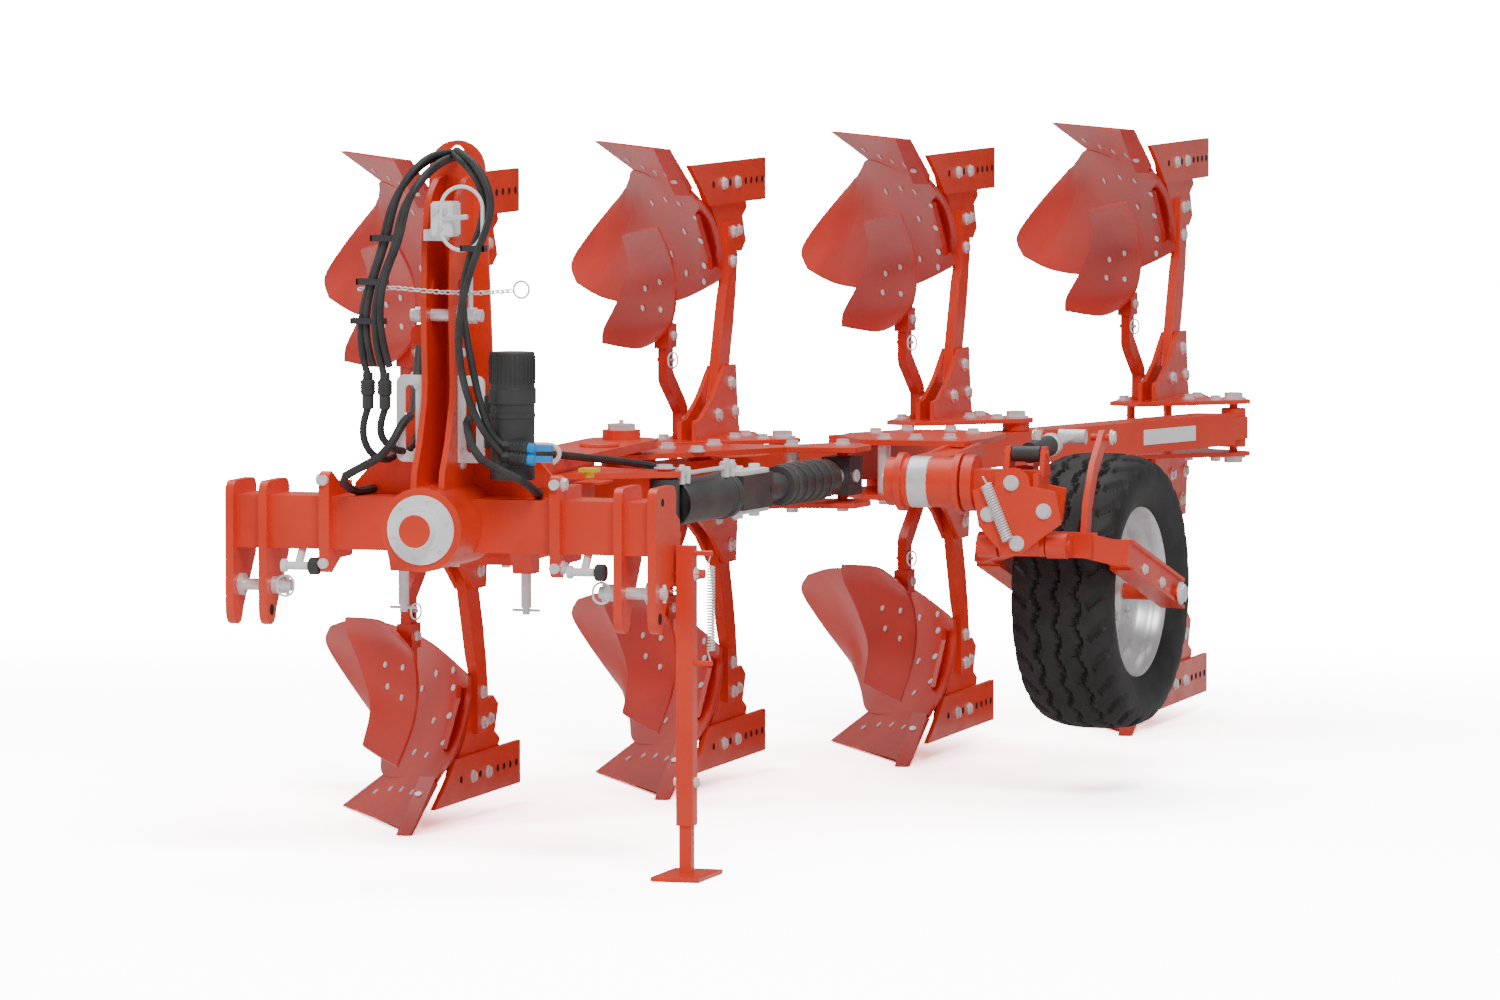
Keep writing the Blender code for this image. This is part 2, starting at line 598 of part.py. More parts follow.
def wheel_support():
    wx, wy, wz = WHEEL_PIVOT
    outline = [(0.430, 2.246), (0.700, 2.246), (0.728, 2.386), (0.715, 2.600), (0.560, 2.700),
               (0.420, 2.650), (0.330, 2.500), (0.330, 2.400)]
    parts = []
    for low in (-FRAME_TOP, FRAME_TOP - FRAME_PLATE):
        parts.append(plate(outline, "z", low, low + FRAME_PLATE))
    seat = MAIN_HEIGHT / 2 + SEAT
    inner = FRAME_TOP - 0.005
    for y in (2.470, 2.620):
        parts.append(rod((beam_x(y), y, seat), (beam_x(y), y, inner), 0.028, 14))
        parts.append(rod((beam_x(y), y, -inner), (beam_x(y), y, -seat), 0.028, 14))
    for x, y in ((0.480, 2.290), (0.560, 2.640)):
        parts.append(rod((x, y, -inner), (x, y, inner), 0.011, 12))
    # forward arms and the cross housing of the wheel head
    for low, high in ((0.040, 0.058), (-0.058, -0.040)):
        parts.append(plate([(0.645, wy), (0.735, wy), (0.735, 2.300), (0.645, 2.300)], "z", low, high))
    for low, high in ((0.650, 0.664), (0.716, 0.730)):
        web = [(wy, -0.050), (2.300, -0.070), (2.300, 0.070), (wy, 0.050)]
        parts.append(plate(web, "x", low, high))
    parts.append(rod((0.638, wy, wz), (0.792, wy, wz), 0.062, 20))
    parts.append(rod((0.634, wy, wz), (0.650, wy, wz), 0.073, 20))
    parts.append(rod((0.780, wy, wz), (0.796, wy, wz), 0.073, 20))
    cuts = [rod((0.60, wy, wz), (0.85, wy, wz), 0.040 + PIN_PLAY, 20)]
    return piece("wheel_support", PAINT, parts, cuts)


def body_bracket(k):
    tx, ty = tip(k)
    px, py = bush(k)
    last = k == BODY_COUNT - 1
    right = arc((px - tx, py - ty), 0.046, -40, 90, 6)
    outline = ([(0.030, 0.100)] + right
               + [(0.150, 0.430), (0.100, 0.560), (-0.020, 0.560), (-0.060, 0.500), (-0.060, 0.140)])
    outline = [(tx + a, ty + b) for a, b in outline]
    parts = []
    for low in (-BRACKET_TOP, BRACKET_TOP - BRACKET_PLATE):
        parts.append(plate(outline, "z", low, low + BRACKET_PLATE))
    inner = BRACKET_TOP - 0.004
    parts.append(rod((tx - 0.035, ty + 0.28, -inner), (tx - 0.035, ty + 0.28, inner), 0.012, 12))
    parts.append(rod((tx + 0.010, ty + 0.52, -inner), (tx + 0.010, ty + 0.52, inner), 0.012, 12))
    if last:
        parts.append(rod((px, py, -inner), (px, py, inner), 0.012, 12))
    else:
        seat = MAIN_HEIGHT / 2 + SEAT
        parts.append(rod((px, py, seat), (px, py, inner), 0.036, 14))
        parts.append(rod((px, py, -inner), (px, py, -seat), 0.036, 14))
    # pairs of upright cheeks that hold each leg
    half = LEG_WIDTH / 2 + SEAT
    for side in (-1, 1):
        cheek = [(0.150, BRACKET_TOP - 0.004), (0.545, BRACKET_TOP - 0.004), (0.530, 0.110),
                 (0.510, 0.250), (0.410, 0.250), (0.300, 0.175), (0.200, 0.130), (0.150, 0.125)]
        cheek = [(ty + a, side * b) for a, b in cheek]
        for x in (tx + LEG_X - half - CHEEK_GAP_PLATE, tx + LEG_X + half):
            parts.append(plate(cheek, "x", x, x + CHEEK_GAP_PLATE))
    return piece("body_bracket_%d" % (k + 1), PAINT, parts)


# ---- plough bodies ---------------------------------------------------------
def place(k, side):
    """Map body coordinates (right of the share point, behind it, height above its edge)."""
    tx, ty = tip(k)
    return lambda a, b, h: Vector((tx + a, ty + b, side * (AXIS_HEIGHT - h)))


SHIN = [(0.045, 0.190, 0.110), (0.045, 0.342, 0.184), (0.045, 0.435, 0.281),
        (0.045, 0.451, 0.343)]
LOWER_EDGE = [(0.045, 0.190, 0.110), (-0.096, 0.411, 0.091), (-0.238, 0.632, 0.072),
              (-0.330, 0.890, 0.105), (-0.427, 1.154, 0.157)]
UPPER_EDGE = [(0.045, 0.451, 0.343), (-0.124, 0.649, 0.407), (-0.300, 0.860, 0.430),
              (-0.450, 1.035, 0.425), (-0.560, 1.160, 0.395)]
WING_END = [(-0.427, 1.154, 0.157), (-0.540, 1.225, 0.265), (-0.596, 1.242, 0.345),
            (-0.560, 1.160, 0.395)]
BOARD_HOLLOW = 0.065


def board_grid(rows, cols):
    """Working face of the moldboard in body coordinates: rows from shin to wing."""
    grid = []
    for i in range(rows + 1):
        v = i / rows
        low = through(LOWER_EDGE, v)
        high = through(UPPER_EDGE, v)
        line = []
        for j in range(cols + 1):
            u = j / cols
            point = low.lerp(high, u)
            hollow = 4 * u * (1 - u) * BOARD_HOLLOW
            point = point + Vector((0.80, 0.60, -0.35)).normalized() * hollow * v ** 0.35
            if i == 0:
                point = through(SHIN, u)
            if i == rows:
                point = through(WING_END, u)
            line.append(point)
        grid.append(line)
    return grid


def moldboard(k, side):
    at = place(k, side)
    grid = [[at(*p) for p in line] for line in board_grid(7, 5)]
    board = shell(grid, BOARD_PLATE * side)
    # share: a wedge from the cutting edge up to the board's lower edge
    edge = [(0.012, 0.035, 0.010), (-0.338, 0.590, 0.001), (-0.246, 0.640, 0.078),
            (0.037, 0.197, 0.120)]
    under = [(0.012, 0.050, 0.000), (-0.325, 0.598, 0.000), (-0.222, 0.652, 0.066),
             (0.037, 0.214, 0.102)]
    share = rings_to_solid("share", [[at(*p) for p in edge], [at(*p) for p in under]])
    # bar point over the share's landward end
    front = [(0.0, 0.0, 0.0), (0.036, 0.0, 0.0), (0.037, 0.196, 0.122), (-0.004, 0.196, 0.122)]
    rear = [(0.0, 0.020, 0.0), (0.036, 0.020, 0.0), (0.037, 0.214, 0.102), (-0.004, 0.214, 0.102)]
    point = rings_to_solid("point", [[at(*p) for p in front], [at(*p) for p in rear]])
    # rib that bolts to the frog
    rib = [(0.340, 0.175), (0.450, 0.290), (0.456, 0.320), (0.490, 0.300), (0.470, 0.200),
           (0.400, 0.150)]
    tx, ty = tip(k)
    low, high = tx + FROG_X - RIB_PLATE - SEAT, tx + FROG_X - SEAT
    rib = plate([(ty + a, side * (AXIS_HEIGHT - h)) for a, h in rib], "x", low, high)
    name = "moldboard_%s_%d" % ("upper" if side > 0 else "lower", k + 1)
    return piece(name, PAINT, [board, share, point, rib])


FROG_X = 0.018              # inner face of the frog plate, from the share point
FROG_PLATE = 0.020
RIB_PLATE = 0.012
LANDSIDE_X = 0.0514
LANDSIDE_PLATE = 0.012


def leg(k, side):
    """Leg, frog plate and landside, bolted up as one."""
    tx, ty = tip(k)

    def up(points):
        return [(ty + a, side * (AXIS_HEIGHT - h)) for a, h in points]

    bar = [(0.360, 0.650), (0.378, 0.600), (0.392, 0.550), (0.425, 0.460), (0.452, 0.390),
           (0.478, 0.345), (0.478, 0.200), (0.562, 0.200), (0.562, 0.300), (0.547, 0.380),
           (0.525, 0.460), (0.492, 0.550), (0.478, 0.600), (0.460, 0.650)]
    x0 = tx + LEG_X - LEG_WIDTH / 2
    parts = [plate(up(bar), "x", x0, x0 + LEG_WIDTH)]
    frog = [(0.300, 0.062), (0.640, 0.062), (0.700, 0.170), (0.660, 0.190), (0.690, 0.255),
            (0.650, 0.280), (0.600, 0.275), (0.560, 0.330), (0.500, 0.335), (0.486, 0.280),
            (0.425, 0.200), (0.330, 0.120)]
    parts.append(plate(up(frog), "x", tx + FROG_X, tx + FROG_X + FROG_PLATE))
    side_plate = [(0.142, 0.046), (0.824, 0.046), (0.824, 0.153), (0.315, 0.153), (0.235, 0.100)]
    parts.append(plate(up(side_plate), "x", tx + LANDSIDE_X - LANDSIDE_PLATE, tx + LANDSIDE_X))
    packing = [(0.320, 0.070), (0.620, 0.070), (0.640, 0.140), (0.360, 0.140)]
    parts.append(plate(up(packing), "x", tx + FROG_X + FROG_PLATE - 0.004,
                       tx + LANDSIDE_X - LANDSIDE_PLATE + 0.004))
    name = "leg_%s_%d" % ("upper" if side > 0 else "lower", k + 1)
    return piece(name, PAINT, parts)


def skimmer(k, side):
    """Small front board on its own stem, bent back to the bracket."""
    at = place(k, side)
    tx, ty = tip(k)

    def up(points):
        return [(ty + a, side * (AXIS_HEIGHT - h)) for a, h in points]

    foot_h = AXIS_HEIGHT - BRACKET_TOP - SEAT
    stem = [(0.225, foot_h), (0.225, 0.668), (0.110, 0.590), (0.100, 0.575), (0.100, 0.345),
            (0.155, 0.345), (0.155, 0.560), (0.265, 0.640), (0.280, 0.655), (0.280, foot_h)]
    x0 = tx + STEM_X - STEM_WIDTH / 2
    bar = plate(up(stem), "x", x0, x0 + STEM_WIDTH)
    sleeve = plate(up([(0.092, 0.440), (0.092, 0.500), (0.163, 0.500), (0.163, 0.440)]),
                   "x", x0 - 0.007, x0 + STEM_WIDTH + 0.007)
    low = [(0.066, -0.178, 0.182), (-0.004, -0.098, 0.195), (-0.075, -0.015, 0.212)]
    mid = [(0.062, -0.045, 0.270), (-0.020, 0.040, 0.280), (-0.100, 0.120, 0.300)]
    high = [(0.066, -0.020, 0.350), (-0.030, 0.080, 0.370), (-0.150, 0.200, 0.385)]
    upper = [(0.040, 0.030, 0.430), (-0.050, 0.120, 0.450), (-0.205, 0.262, 0.460)]
    top = [(-0.010, 0.060, 0.480), (-0.085, 0.140, 0.505), (-0.208, 0.255, 0.500)]
    rows = [[at(*through(line, j / 3)) for j in range(4)] for line in (low, mid, high, upper, top)]
    face = shell(rows, -0.007 * side)
    web = plate(up([(0.058, 0.315), (0.070, 0.365), (0.090, 0.430), (0.112, 0.440), (0.112, 0.330)]),
                "x", x0 + 0.002, x0 + STEM_WIDTH - 0.002)
    name = "skimmer_%s_%d" % ("upper" if side > 0 else "lower", k + 1)
    return piece(name, PAINT, [bar, sleeve, face, web])


# ---- land wheel ------------------------------------------------------------
WHEEL_PIVOT = (0.800, 1.876, 0.0)       # cross shaft of the wheel head
FORK_PIVOT = (0.955, 1.846, -0.148)     # lower cross tube, the fork's hinge
FORK_SIDE = 0.150


def wheel_turn():
    return Matrix.Rotation(WHEEL_TOE, 3, "Z")


def wheel_head():
    """Plate that swings on the cross shaft and carries the fork's hinge tube."""
    wx, wy, wz = WHEEL_PIVOT
    fx, fy, fz = FORK_PIVOT
    parts = [rod((0.610, wy, wz), (wx + 0.030, wy, wz), 0.040, 20),
             rod((0.606, wy, wz), (0.632, wy, wz), 0.060, 16),
             rod((wx + 0.002, wy, wz), (wx + 0.030, wy, wz), 0.070, 16),
             square_bar((wx + 0.020, wy, wz), (fx + 0.045, wy, wz), 0.070, 0.070,
                        Vector((0, 1, 0)))]
    face = (arc((fx - 0.015, 0.0), 0.045, 0, 180, 8)
            + [(fx - 0.115, -0.012), (fx - 0.100, -0.100), (fx - 0.029, -0.178),
               (fx + 0.010, -0.165), (fx + 0.060, -0.125), (fx + 0.106, -0.092),
               (fx + 0.090, -0.012)])
    parts.append(plate(face, "y", wy - 0.085, wy - 0.069))
    rear = (arc((fx - 0.015, 0.0), 0.045, 0, 180, 8)
            + [(fx - 0.100, -0.012), (fx - 0.080, -0.095), (fx + 0.080, -0.095), (fx + 0.090, -0.012)])
    parts.append(plate(rear, "y", wy + 0.034, wy + 0.048))
    for low, high in ((fx - 0.060, fx - 0.046), (fx + 0.034, fx + 0.048)):
        parts.append(box((low, wy - 0.072, -0.150), (high, wy + 0.036, 0.030)))
    parts.append(rod((fx - 0.058, fy, fz), (fx + 0.058, fy, fz), 0.028, 16))
    # saddle ears over the bar for the lift cylinder
    lx, ly, lz = LIFT_FRONT
    for low, high in ((-0.052, -0.038), (0.038, 0.050)):
        ear = [(wy - 0.034, 0.020), (wy + 0.044, 0.020), (ly + 0.020, lz),
               (ly + 0.012, lz + 0.018), (ly - 0.012, lz + 0.018), (ly - 0.020, lz)]
        parts.append(plate(ear, "x", lx + low, lx + high))
    parts.append(rod((lx - 0.056, ly, lz), (lx + 0.054, ly, lz), 0.010, 12))
    cuts = [rod((fx - 0.2, fy, fz), (fx + 0.2, fy, fz), 0.014 + PIN_PLAY, 14)]
    return piece("wheel_head", PAINT, parts, cuts)


LIFT_FRONT = (0.955, 1.880, 0.074)
LIFT_REAR = (1.003, 2.146, 0.100)
EYE_HALF = 0.034            # half width of the rod's eye
EYE_DRIFT = 0.013           # room beside it, for its sideways drift along the stroke


def lift_point(distance):
    return along(LIFT_FRONT, LIFT_REAR, distance)


def lift_cylinder():
    lx, ly, lz = LIFT_FRONT
    rx, ry, rz = LIFT_REAR
    total = (Vector(LIFT_REAR) - Vector(LIFT_FRONT)).length
    parts = [rod((lx - 0.0345, ly, lz), (lx + 0.0345, ly, lz), 0.020, 14),
             rod(lift_point(0.012), lift_point(0.150), 0.026, 16)]
    cuts = [rod((lx - 0.06, ly, lz), (lx + 0.06, ly, lz), 0.010 + PIN_PLAY, 12),
            rod(lift_point(0.030), lift_point(0.17), 0.012 + PIN_PLAY, 12)]
    piece("lift_cylinder", GREY, parts, cuts)
    parts = [rod(lift_point(0.085), lift_point(total - 0.006), 0.012, 12),
             rod((rx - EYE_HALF, ry, rz), (rx + EYE_HALF, ry, rz), 0.019, 14)]
    piece("lift_rod", ZINC, parts)


def wheel_fork():
    """Yoke round the front of the tyre, with the horns of the lift cylinder."""
    fx, fy, fz = FORK_PIVOT
    cx, cy, cz = WHEEL_CENTRE
    turn = wheel_turn()
    inner, outer = FORK_SIDE, FORK_SIDE + 0.050
    front = -TYRE_RADIUS - 0.077

    def at(a, b, h):
        return Vector((cx, cy, cz)) + turn @ Vector((a, b, h))

    def fall(b):
        return (fz - cz) * min(1.0, max(0.0, b / front))

    # rear arms, slanted front arms and cross member
    middle = (inner + outer) / 2
    runs = [((-middle, 0.045), (-middle, -0.370)), ((middle, 0.045), (middle, -0.370)),
            ((-middle, -0.352), (-0.100, front)), ((middle, -0.352), (0.100, front)),
            ((-0.130, front), (0.130, front))]
    parts = []
    for n, (start, end) in enumerate(runs):
        ends = [at(a, b, fall(b) - 0.005) for a, b in (start, end)]
        side = (ends[1] - ends[0]).cross(Vector((0, 0, 1))).normalized()
        parts.append(square_bar(ends[0], ends[1], 0.050 - 0.0010 * n, 0.066 - 0.0013 * n, side))
    parts.append(rod(at(-outer - 0.006, 0, 0), at(outer + 0.010, 0, 0), 0.020, 14))
    # hinge knuckles either side of the cross tube
    for low, high in ((-0.112, -0.062), (0.062, 0.112)):
        parts.append(rod((fx + low, fy, fz), (fx + high, fy, fz), 0.032, 16))
        parts.append(box((fx + low + 0.004, fy, fz - 0.028), (fx + high - 0.004, fy + 0.145, fz + 0.022)))
    parts.append(rod((fx - 0.118, fy, fz), (fx + 0.118, fy, fz), 0.014, 14))
    # curved horns
    rx, ry, rz = LIFT_REAR
    for low, high in ((-0.084, -0.070), (0.070, 0.084)):
        horn = [(fy + 0.095, fz + 0.010), (fy + 0.150, fz + 0.010), (fy + 0.165, fz + 0.080),
                (fy + 0.225, fz + 0.165), (ry + 0.016, rz - 0.014), (ry + 0.012, rz + 0.018),
                (ry - 0.014, rz + 0.018), (fy + 0.185, fz + 0.190), (fy + 0.120, fz + 0.100)]
        parts.append(plate(horn, "x", rx + low, rx + high))
    # pin ends, short of the rod's eye, which drifts a little as the fork lifts
    parts.append(rod((rx - 0.090, ry, rz), (rx - EYE_HALF - EYE_DRIFT, ry, rz), 0.009, 12))
    parts.append(rod((rx + EYE_HALF + EYE_DRIFT, ry, rz), (rx + 0.098, ry, rz), 0.009, 12))
    return piece("wheel_fork", PAINT, parts)


def wheel():
    turn = wheel_turn()
    half = TYRE_WIDTH / 2
    tyre = [(RIM_RADIUS + 0.003, -half * 0.72), (RIM_RADIUS + 0.055, -half * 0.97),
            (RIM_RADIUS + 0.090, -half), (TYRE_RADIUS - 0.022, -half * 0.88),
            (TYRE_RADIUS, -half * 0.62), (TYRE_RADIUS, half * 0.62),
            (TYRE_RADIUS - 0.022, half * 0.88), (RIM_RADIUS + 0.090, half),
            (RIM_RADIUS + 0.055, half * 0.97), (RIM_RADIUS + 0.003, half * 0.72)]
    piece("tyre", RUBBER, [turned(tyre, WHEEL_CENTRE, turn, 28)])
    rim = [(RIM_RADIUS + 0.0027, -half * 0.72), (RIM_RADIUS + 0.0027, half * 0.72),
           (RIM_RADIUS - 0.012, half * 0.74), (RIM_RADIUS - 0.016, 0.020),
           (0.110, 0.008), (0.062, 0.030), (0.050, 0.060), (0.0207, 0.060), (0.0207, -0.060),
           (0.050, -0.060), (0.062, 0.016), (0.110, -0.004), (RIM_RADIUS - 0.018, 0.006),
           (RIM_RADIUS - 0.012, -half * 0.74)]
    piece("wheel_rim", ZINC, [turned(rim, WHEEL_CENTRE, turn, 28)])


def hose(name, points, radius, steps):
    """Round hose along chosen points, made whole from end to end."""
    route = [through(points, i / steps) for i in range(steps + 1)]
    rings = []
    side = None
    for i, p in enumerate(route):
        run = (route[min(i + 1, steps)] - route[max(i - 1, 0)]).normalized()
        side = run.orthogonal() if side is None else side - run * side.dot(run)
        side.normalize()
        up = run.cross(side)
        rings.append([p + (side * math.cos(a) + up * math.sin(a)) * radius
                      for a in (2 * math.pi * j / 8 for j in range(8))])
    return piece(name, GREY, [rings_to_solid(name, rings)])


def hoses():
    for side, name in ((1, "hose_left"), (-1, "hose_right")):
        hose(name, [(side * 0.073, 0.1900, 0.250), (side * 0.078, 0.150, 0.235),
                    (side * 0.115, 0.115, 0.165), (side * 0.215, 0.135, 0.110),
                    (side * 0.222, 0.230, 0.0735), (side * 0.200, 0.3080, 0.0735)], 0.010, 12)
    hose("swing_hose", [(0.030, 0.4700, 0.1195), (0.045, 0.600, 0.1300), (0.070, 0.800, 0.1255),
                        (0.140, 0.930, 0.1080), (0.215, 1.020, 0.0930), (0.318, 1.130, 0.0640)],
         0.009, 12)


def hang(point, *names):
    """Move the origins of the named pieces to their joint's axis; their shapes stay put."""
    shift = Vector(point)
    for name in names:
        body = bpy.data.objects[name]
        body.data.transform(Matrix.Translation(-shift))
        body.location = shift


headstock()
bearing_cover()
mast()
top_link_pin()
for flank in (-1, 1):
    link_pin(flank)
    hose_plate(flank)
    stop_screw(flank)
canister()
stand_leg()
stand_foot()
turnover_cylinder()
turning_arm()
swing_strut()
front_frame()
main_beam()
wheel_support()
for number in range(BODY_COUNT):
    body_bracket(number)
    for flank in (-1, 1):
        leg(number, flank)
        moldboard(number, flank)
        skimmer(number, flank)
wheel_head()
lift_cylinder()
wheel_fork()
wheel()
hoses()
hang((STAND_X, stand_at(STAND_PIVOT_Z), STAND_PIVOT_Z), "stand_leg", "stand_foot")
hang((TURN_TOP[0], TURN_PLANE, TURN_TOP[1]), "turnover_cylinder")
hang((CRANK[0], TURN_PLANE, CRANK[1]), "turnover_rod")
hang((*STRUT_FRONT, 0.0), "swing_cylinder")
hang((*STRUT_REAR, 0.0), "width_cylinder")
hang((*PIVOT, 0.0), "front_frame", "main_beam", "wheel_support")
for number in range(1, BODY_COUNT + 1):
    hang((*PIVOT, 0.0), "body_bracket_%d" % number)
    for kind in ("leg", "moldboard", "skimmer"):
        hang((*PIVOT, 0.0), "%s_upper_%d" % (kind, number), "%s_lower_%d" % (kind, number))
hang(WHEEL_PIVOT, "wheel_head")
hang(FORK_PIVOT, "wheel_fork")
hang(LIFT_FRONT, "lift_cylinder")
hang(LIFT_REAR, "lift_rod")
hang(WHEEL_CENTRE, "tyre", "wheel_rim")
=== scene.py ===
import json
import math

import bmesh
import bpy
from mathutils import Matrix, Vector
from mathutils.bvhtree import BVHTree


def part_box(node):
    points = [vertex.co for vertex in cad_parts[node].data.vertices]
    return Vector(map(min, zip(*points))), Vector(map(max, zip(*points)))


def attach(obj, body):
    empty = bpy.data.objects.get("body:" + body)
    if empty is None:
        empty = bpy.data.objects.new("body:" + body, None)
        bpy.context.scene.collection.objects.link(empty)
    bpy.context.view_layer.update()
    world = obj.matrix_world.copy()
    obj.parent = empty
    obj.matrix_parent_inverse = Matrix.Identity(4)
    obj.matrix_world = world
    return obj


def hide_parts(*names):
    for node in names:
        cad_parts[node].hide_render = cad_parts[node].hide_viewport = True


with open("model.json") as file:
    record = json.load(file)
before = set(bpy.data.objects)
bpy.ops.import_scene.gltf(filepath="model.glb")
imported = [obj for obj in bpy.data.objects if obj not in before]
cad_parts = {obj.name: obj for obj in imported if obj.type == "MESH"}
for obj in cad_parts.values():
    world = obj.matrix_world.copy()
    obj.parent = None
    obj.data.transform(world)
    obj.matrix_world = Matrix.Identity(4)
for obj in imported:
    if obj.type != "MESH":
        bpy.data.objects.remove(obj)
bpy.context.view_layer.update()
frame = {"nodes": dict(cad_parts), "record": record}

# ---- camera, floor and light ----------------------------------------------
# A long lens from the front left of the machine, a little above the beam,
# over a plain pale floor with one broad soft light and two fill lights.
camera = bpy.data.objects.new("camera", bpy.data.cameras.new("camera"))
bpy.context.scene.collection.objects.link(camera)
camera.data.lens = 208.8
camera.data.sensor_width = 36
camera.data.clip_end = 80
round_by, up_by = math.radians(16.1765), math.radians(4.1504)
looking_back = Vector((math.sin(round_by) * math.cos(up_by),
                       -math.cos(round_by) * math.cos(up_by), math.sin(up_by)))
camera.rotation_mode = "QUATERNION"
camera.rotation_quaternion = looking_back.to_track_quat("Z", "Y")
camera.location = (6.2242, -18.720, 1.5024)
bpy.context.scene.camera = camera


def principled(name, color, rough, metal=0.0):
    """A new Principled material and its tree."""
    made = bpy.data.materials.new(name)
    made.use_nodes = True
    shader = made.node_tree.nodes["Principled BSDF"]
    shader.inputs["Base Color"].default_value = (*color, 1.0)
    shader.inputs["Roughness"].default_value = rough
    shader.inputs["Metallic"].default_value = metal
    return made, made.node_tree, shader


floor_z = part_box("stand_foot")[0][2]
bm = bmesh.new()
bmesh.ops.create_grid(bm, x_segments=1, y_segments=1, size=40.0)
floor_mesh = bpy.data.meshes.new("floor")
bm.to_mesh(floor_mesh)
bm.free()
floor = bpy.data.objects.new("floor", floor_mesh)
bpy.context.scene.collection.objects.link(floor)
floor.location.z = floor_z - 0.0015
floor_finish, tree, shader = principled("floor_paper", (0.80, 0.80, 0.80), 0.65)
bright = tree.nodes.new("ShaderNodeBsdfDiffuse")
bright.inputs["Color"].default_value = (11.0, 11.0, 11.0, 1.0)
rays = tree.nodes.new("ShaderNodeLightPath")
either = tree.nodes.new("ShaderNodeMixShader")
tree.links.new(rays.outputs["Is Camera Ray"], either.inputs["Fac"])
tree.links.new(shader.outputs["BSDF"], either.inputs[1])
reach = tree.nodes.new("ShaderNodeVectorMath")
reach.operation = "LENGTH"
fade = tree.nodes.new("ShaderNodeMapRange")
fade.interpolation_type = "SMOOTHSTEP"
fade.inputs["From Min"].default_value, fade.inputs["From Max"].default_value = 4.0, 9.0
horizon = tree.nodes.new("ShaderNodeEmission")
horizon.inputs["Strength"].default_value = 22.0
blend = tree.nodes.new("ShaderNodeMixShader")
tree.links.new(tree.nodes.new("ShaderNodeTexCoord").outputs["Object"], reach.inputs[0])
tree.links.new(reach.outputs["Value"], fade.inputs["Value"])
tree.links.new(fade.outputs["Result"], blend.inputs["Fac"])
tree.links.new(bright.outputs["BSDF"], blend.inputs[1])
tree.links.new(horizon.outputs["Emission"], blend.inputs[2])
tree.links.new(blend.outputs["Shader"], either.inputs[2])
tree.links.new(either.outputs["Shader"], tree.nodes["Material Output"].inputs["Surface"])
floor_mesh.materials.append(floor_finish)

world = bpy.data.worlds.new("studio")
bpy.context.scene.world = world
world.use_nodes = True
world.node_tree.nodes["Background"].inputs["Color"].default_value = (1.0, 1.0, 1.0, 1.0)
world.node_tree.nodes["Background"].inputs["Strength"].default_value = 0.38
seen = world.node_tree.nodes.new("ShaderNodeBackground")
seen.inputs["Strength"].default_value = 22.0
rays = world.node_tree.nodes.new("ShaderNodeLightPath")
either = world.node_tree.nodes.new("ShaderNodeMixShader")
links = world.node_tree.links
links.new(rays.outputs["Is Camera Ray"], either.inputs["Fac"])
links.new(world.node_tree.nodes["Background"].outputs["Background"], either.inputs[1])
links.new(seen.outputs["Background"], either.inputs[2])
links.new(either.outputs["Shader"], world.node_tree.nodes["World Output"].inputs["Surface"])
for lamp_name, spot, power, size in (("key", (4.5, -6.5, 8.5), 760.0, 4.0),
                                     ("top", (-1.0, 3.0, 7.5), 400.0, 7.0),
                                     ("side", (-7.5, -3.0, 2.5), 170.0, 4.0)):
    lamp = bpy.data.objects.new(lamp_name, bpy.data.lights.new(lamp_name, "AREA"))
    bpy.context.scene.collection.objects.link(lamp)
    lamp.data.energy = power
    lamp.data.size = size
    lamp.location = spot
    aim = Vector((0.3, 1.5, -0.2)) - Vector(spot)
    lamp.rotation_mode = "QUATERNION"
    lamp.rotation_quaternion = aim.to_track_quat("-Z", "Y")

# ---- painted steelwork -----------------------------------------------------
# Welded and cut steel plate, powder coated orange-red. The coat is glossy
# and slightly pebbled.


def noise_bump(tree, shader, scale, strength, distance):
    """Fine surface relief on Object coordinates."""
    nodes, links = tree.nodes, tree.links
    coords = nodes.new("ShaderNodeTexCoord")
    noise = nodes.new("ShaderNodeTexNoise")
    noise.inputs["Scale"].default_value = scale
    noise.inputs["Detail"].default_value = 4.0
    bump = nodes.new("ShaderNodeBump")
    bump.inputs["Strength"].default_value = strength
    bump.inputs["Distance"].default_value = distance
    links.new(coords.outputs["Object"], noise.inputs["Vector"])
    links.new(noise.outputs["Fac"], bump.inputs["Height"])
    links.new(bump.outputs["Normal"], shader.inputs["Normal"])
    return coords, noise


def mottle(tree, shader, coords, scale, low, high, socket, contrast=(0.35, 0.65)):
    """Slow change of a colour or a roughness over the surface."""
    nodes, links = tree.nodes, tree.links
    noise = nodes.new("ShaderNodeTexNoise")
    noise.inputs["Scale"].default_value = scale
    noise.inputs["Detail"].default_value = 3.0
    ramp = nodes.new("ShaderNodeValToRGB")
    ramp.color_ramp.elements[0].position, ramp.color_ramp.elements[1].position = contrast
    ramp.color_ramp.elements[0].color = (*low, 1.0)
    ramp.color_ramp.elements[1].color = (*high, 1.0)
    links.new(coords.outputs["Object"], noise.inputs["Vector"])
    links.new(noise.outputs["Fac"], ramp.inputs["Fac"])
    links.new(ramp.outputs["Color"], shader.inputs[socket])


coat, tree, shader = principled("orange_red_coat", (0.84, 0.042, 0.008), 0.34)
shader.inputs["Coat Weight"].default_value = 0.25
shader.inputs["Coat Roughness"].default_value = 0.25
coords, _ = noise_bump(tree, shader, 260.0, 0.10, 0.0006)
mottle(tree, shader, coords, 5.0, (0.80, 0.036, 0.006), (0.88, 0.048, 0.010), "Base Color")
mottle(tree, shader, coords, 9.0, (0.32,) * 3, (0.42,) * 3, "Roughness")

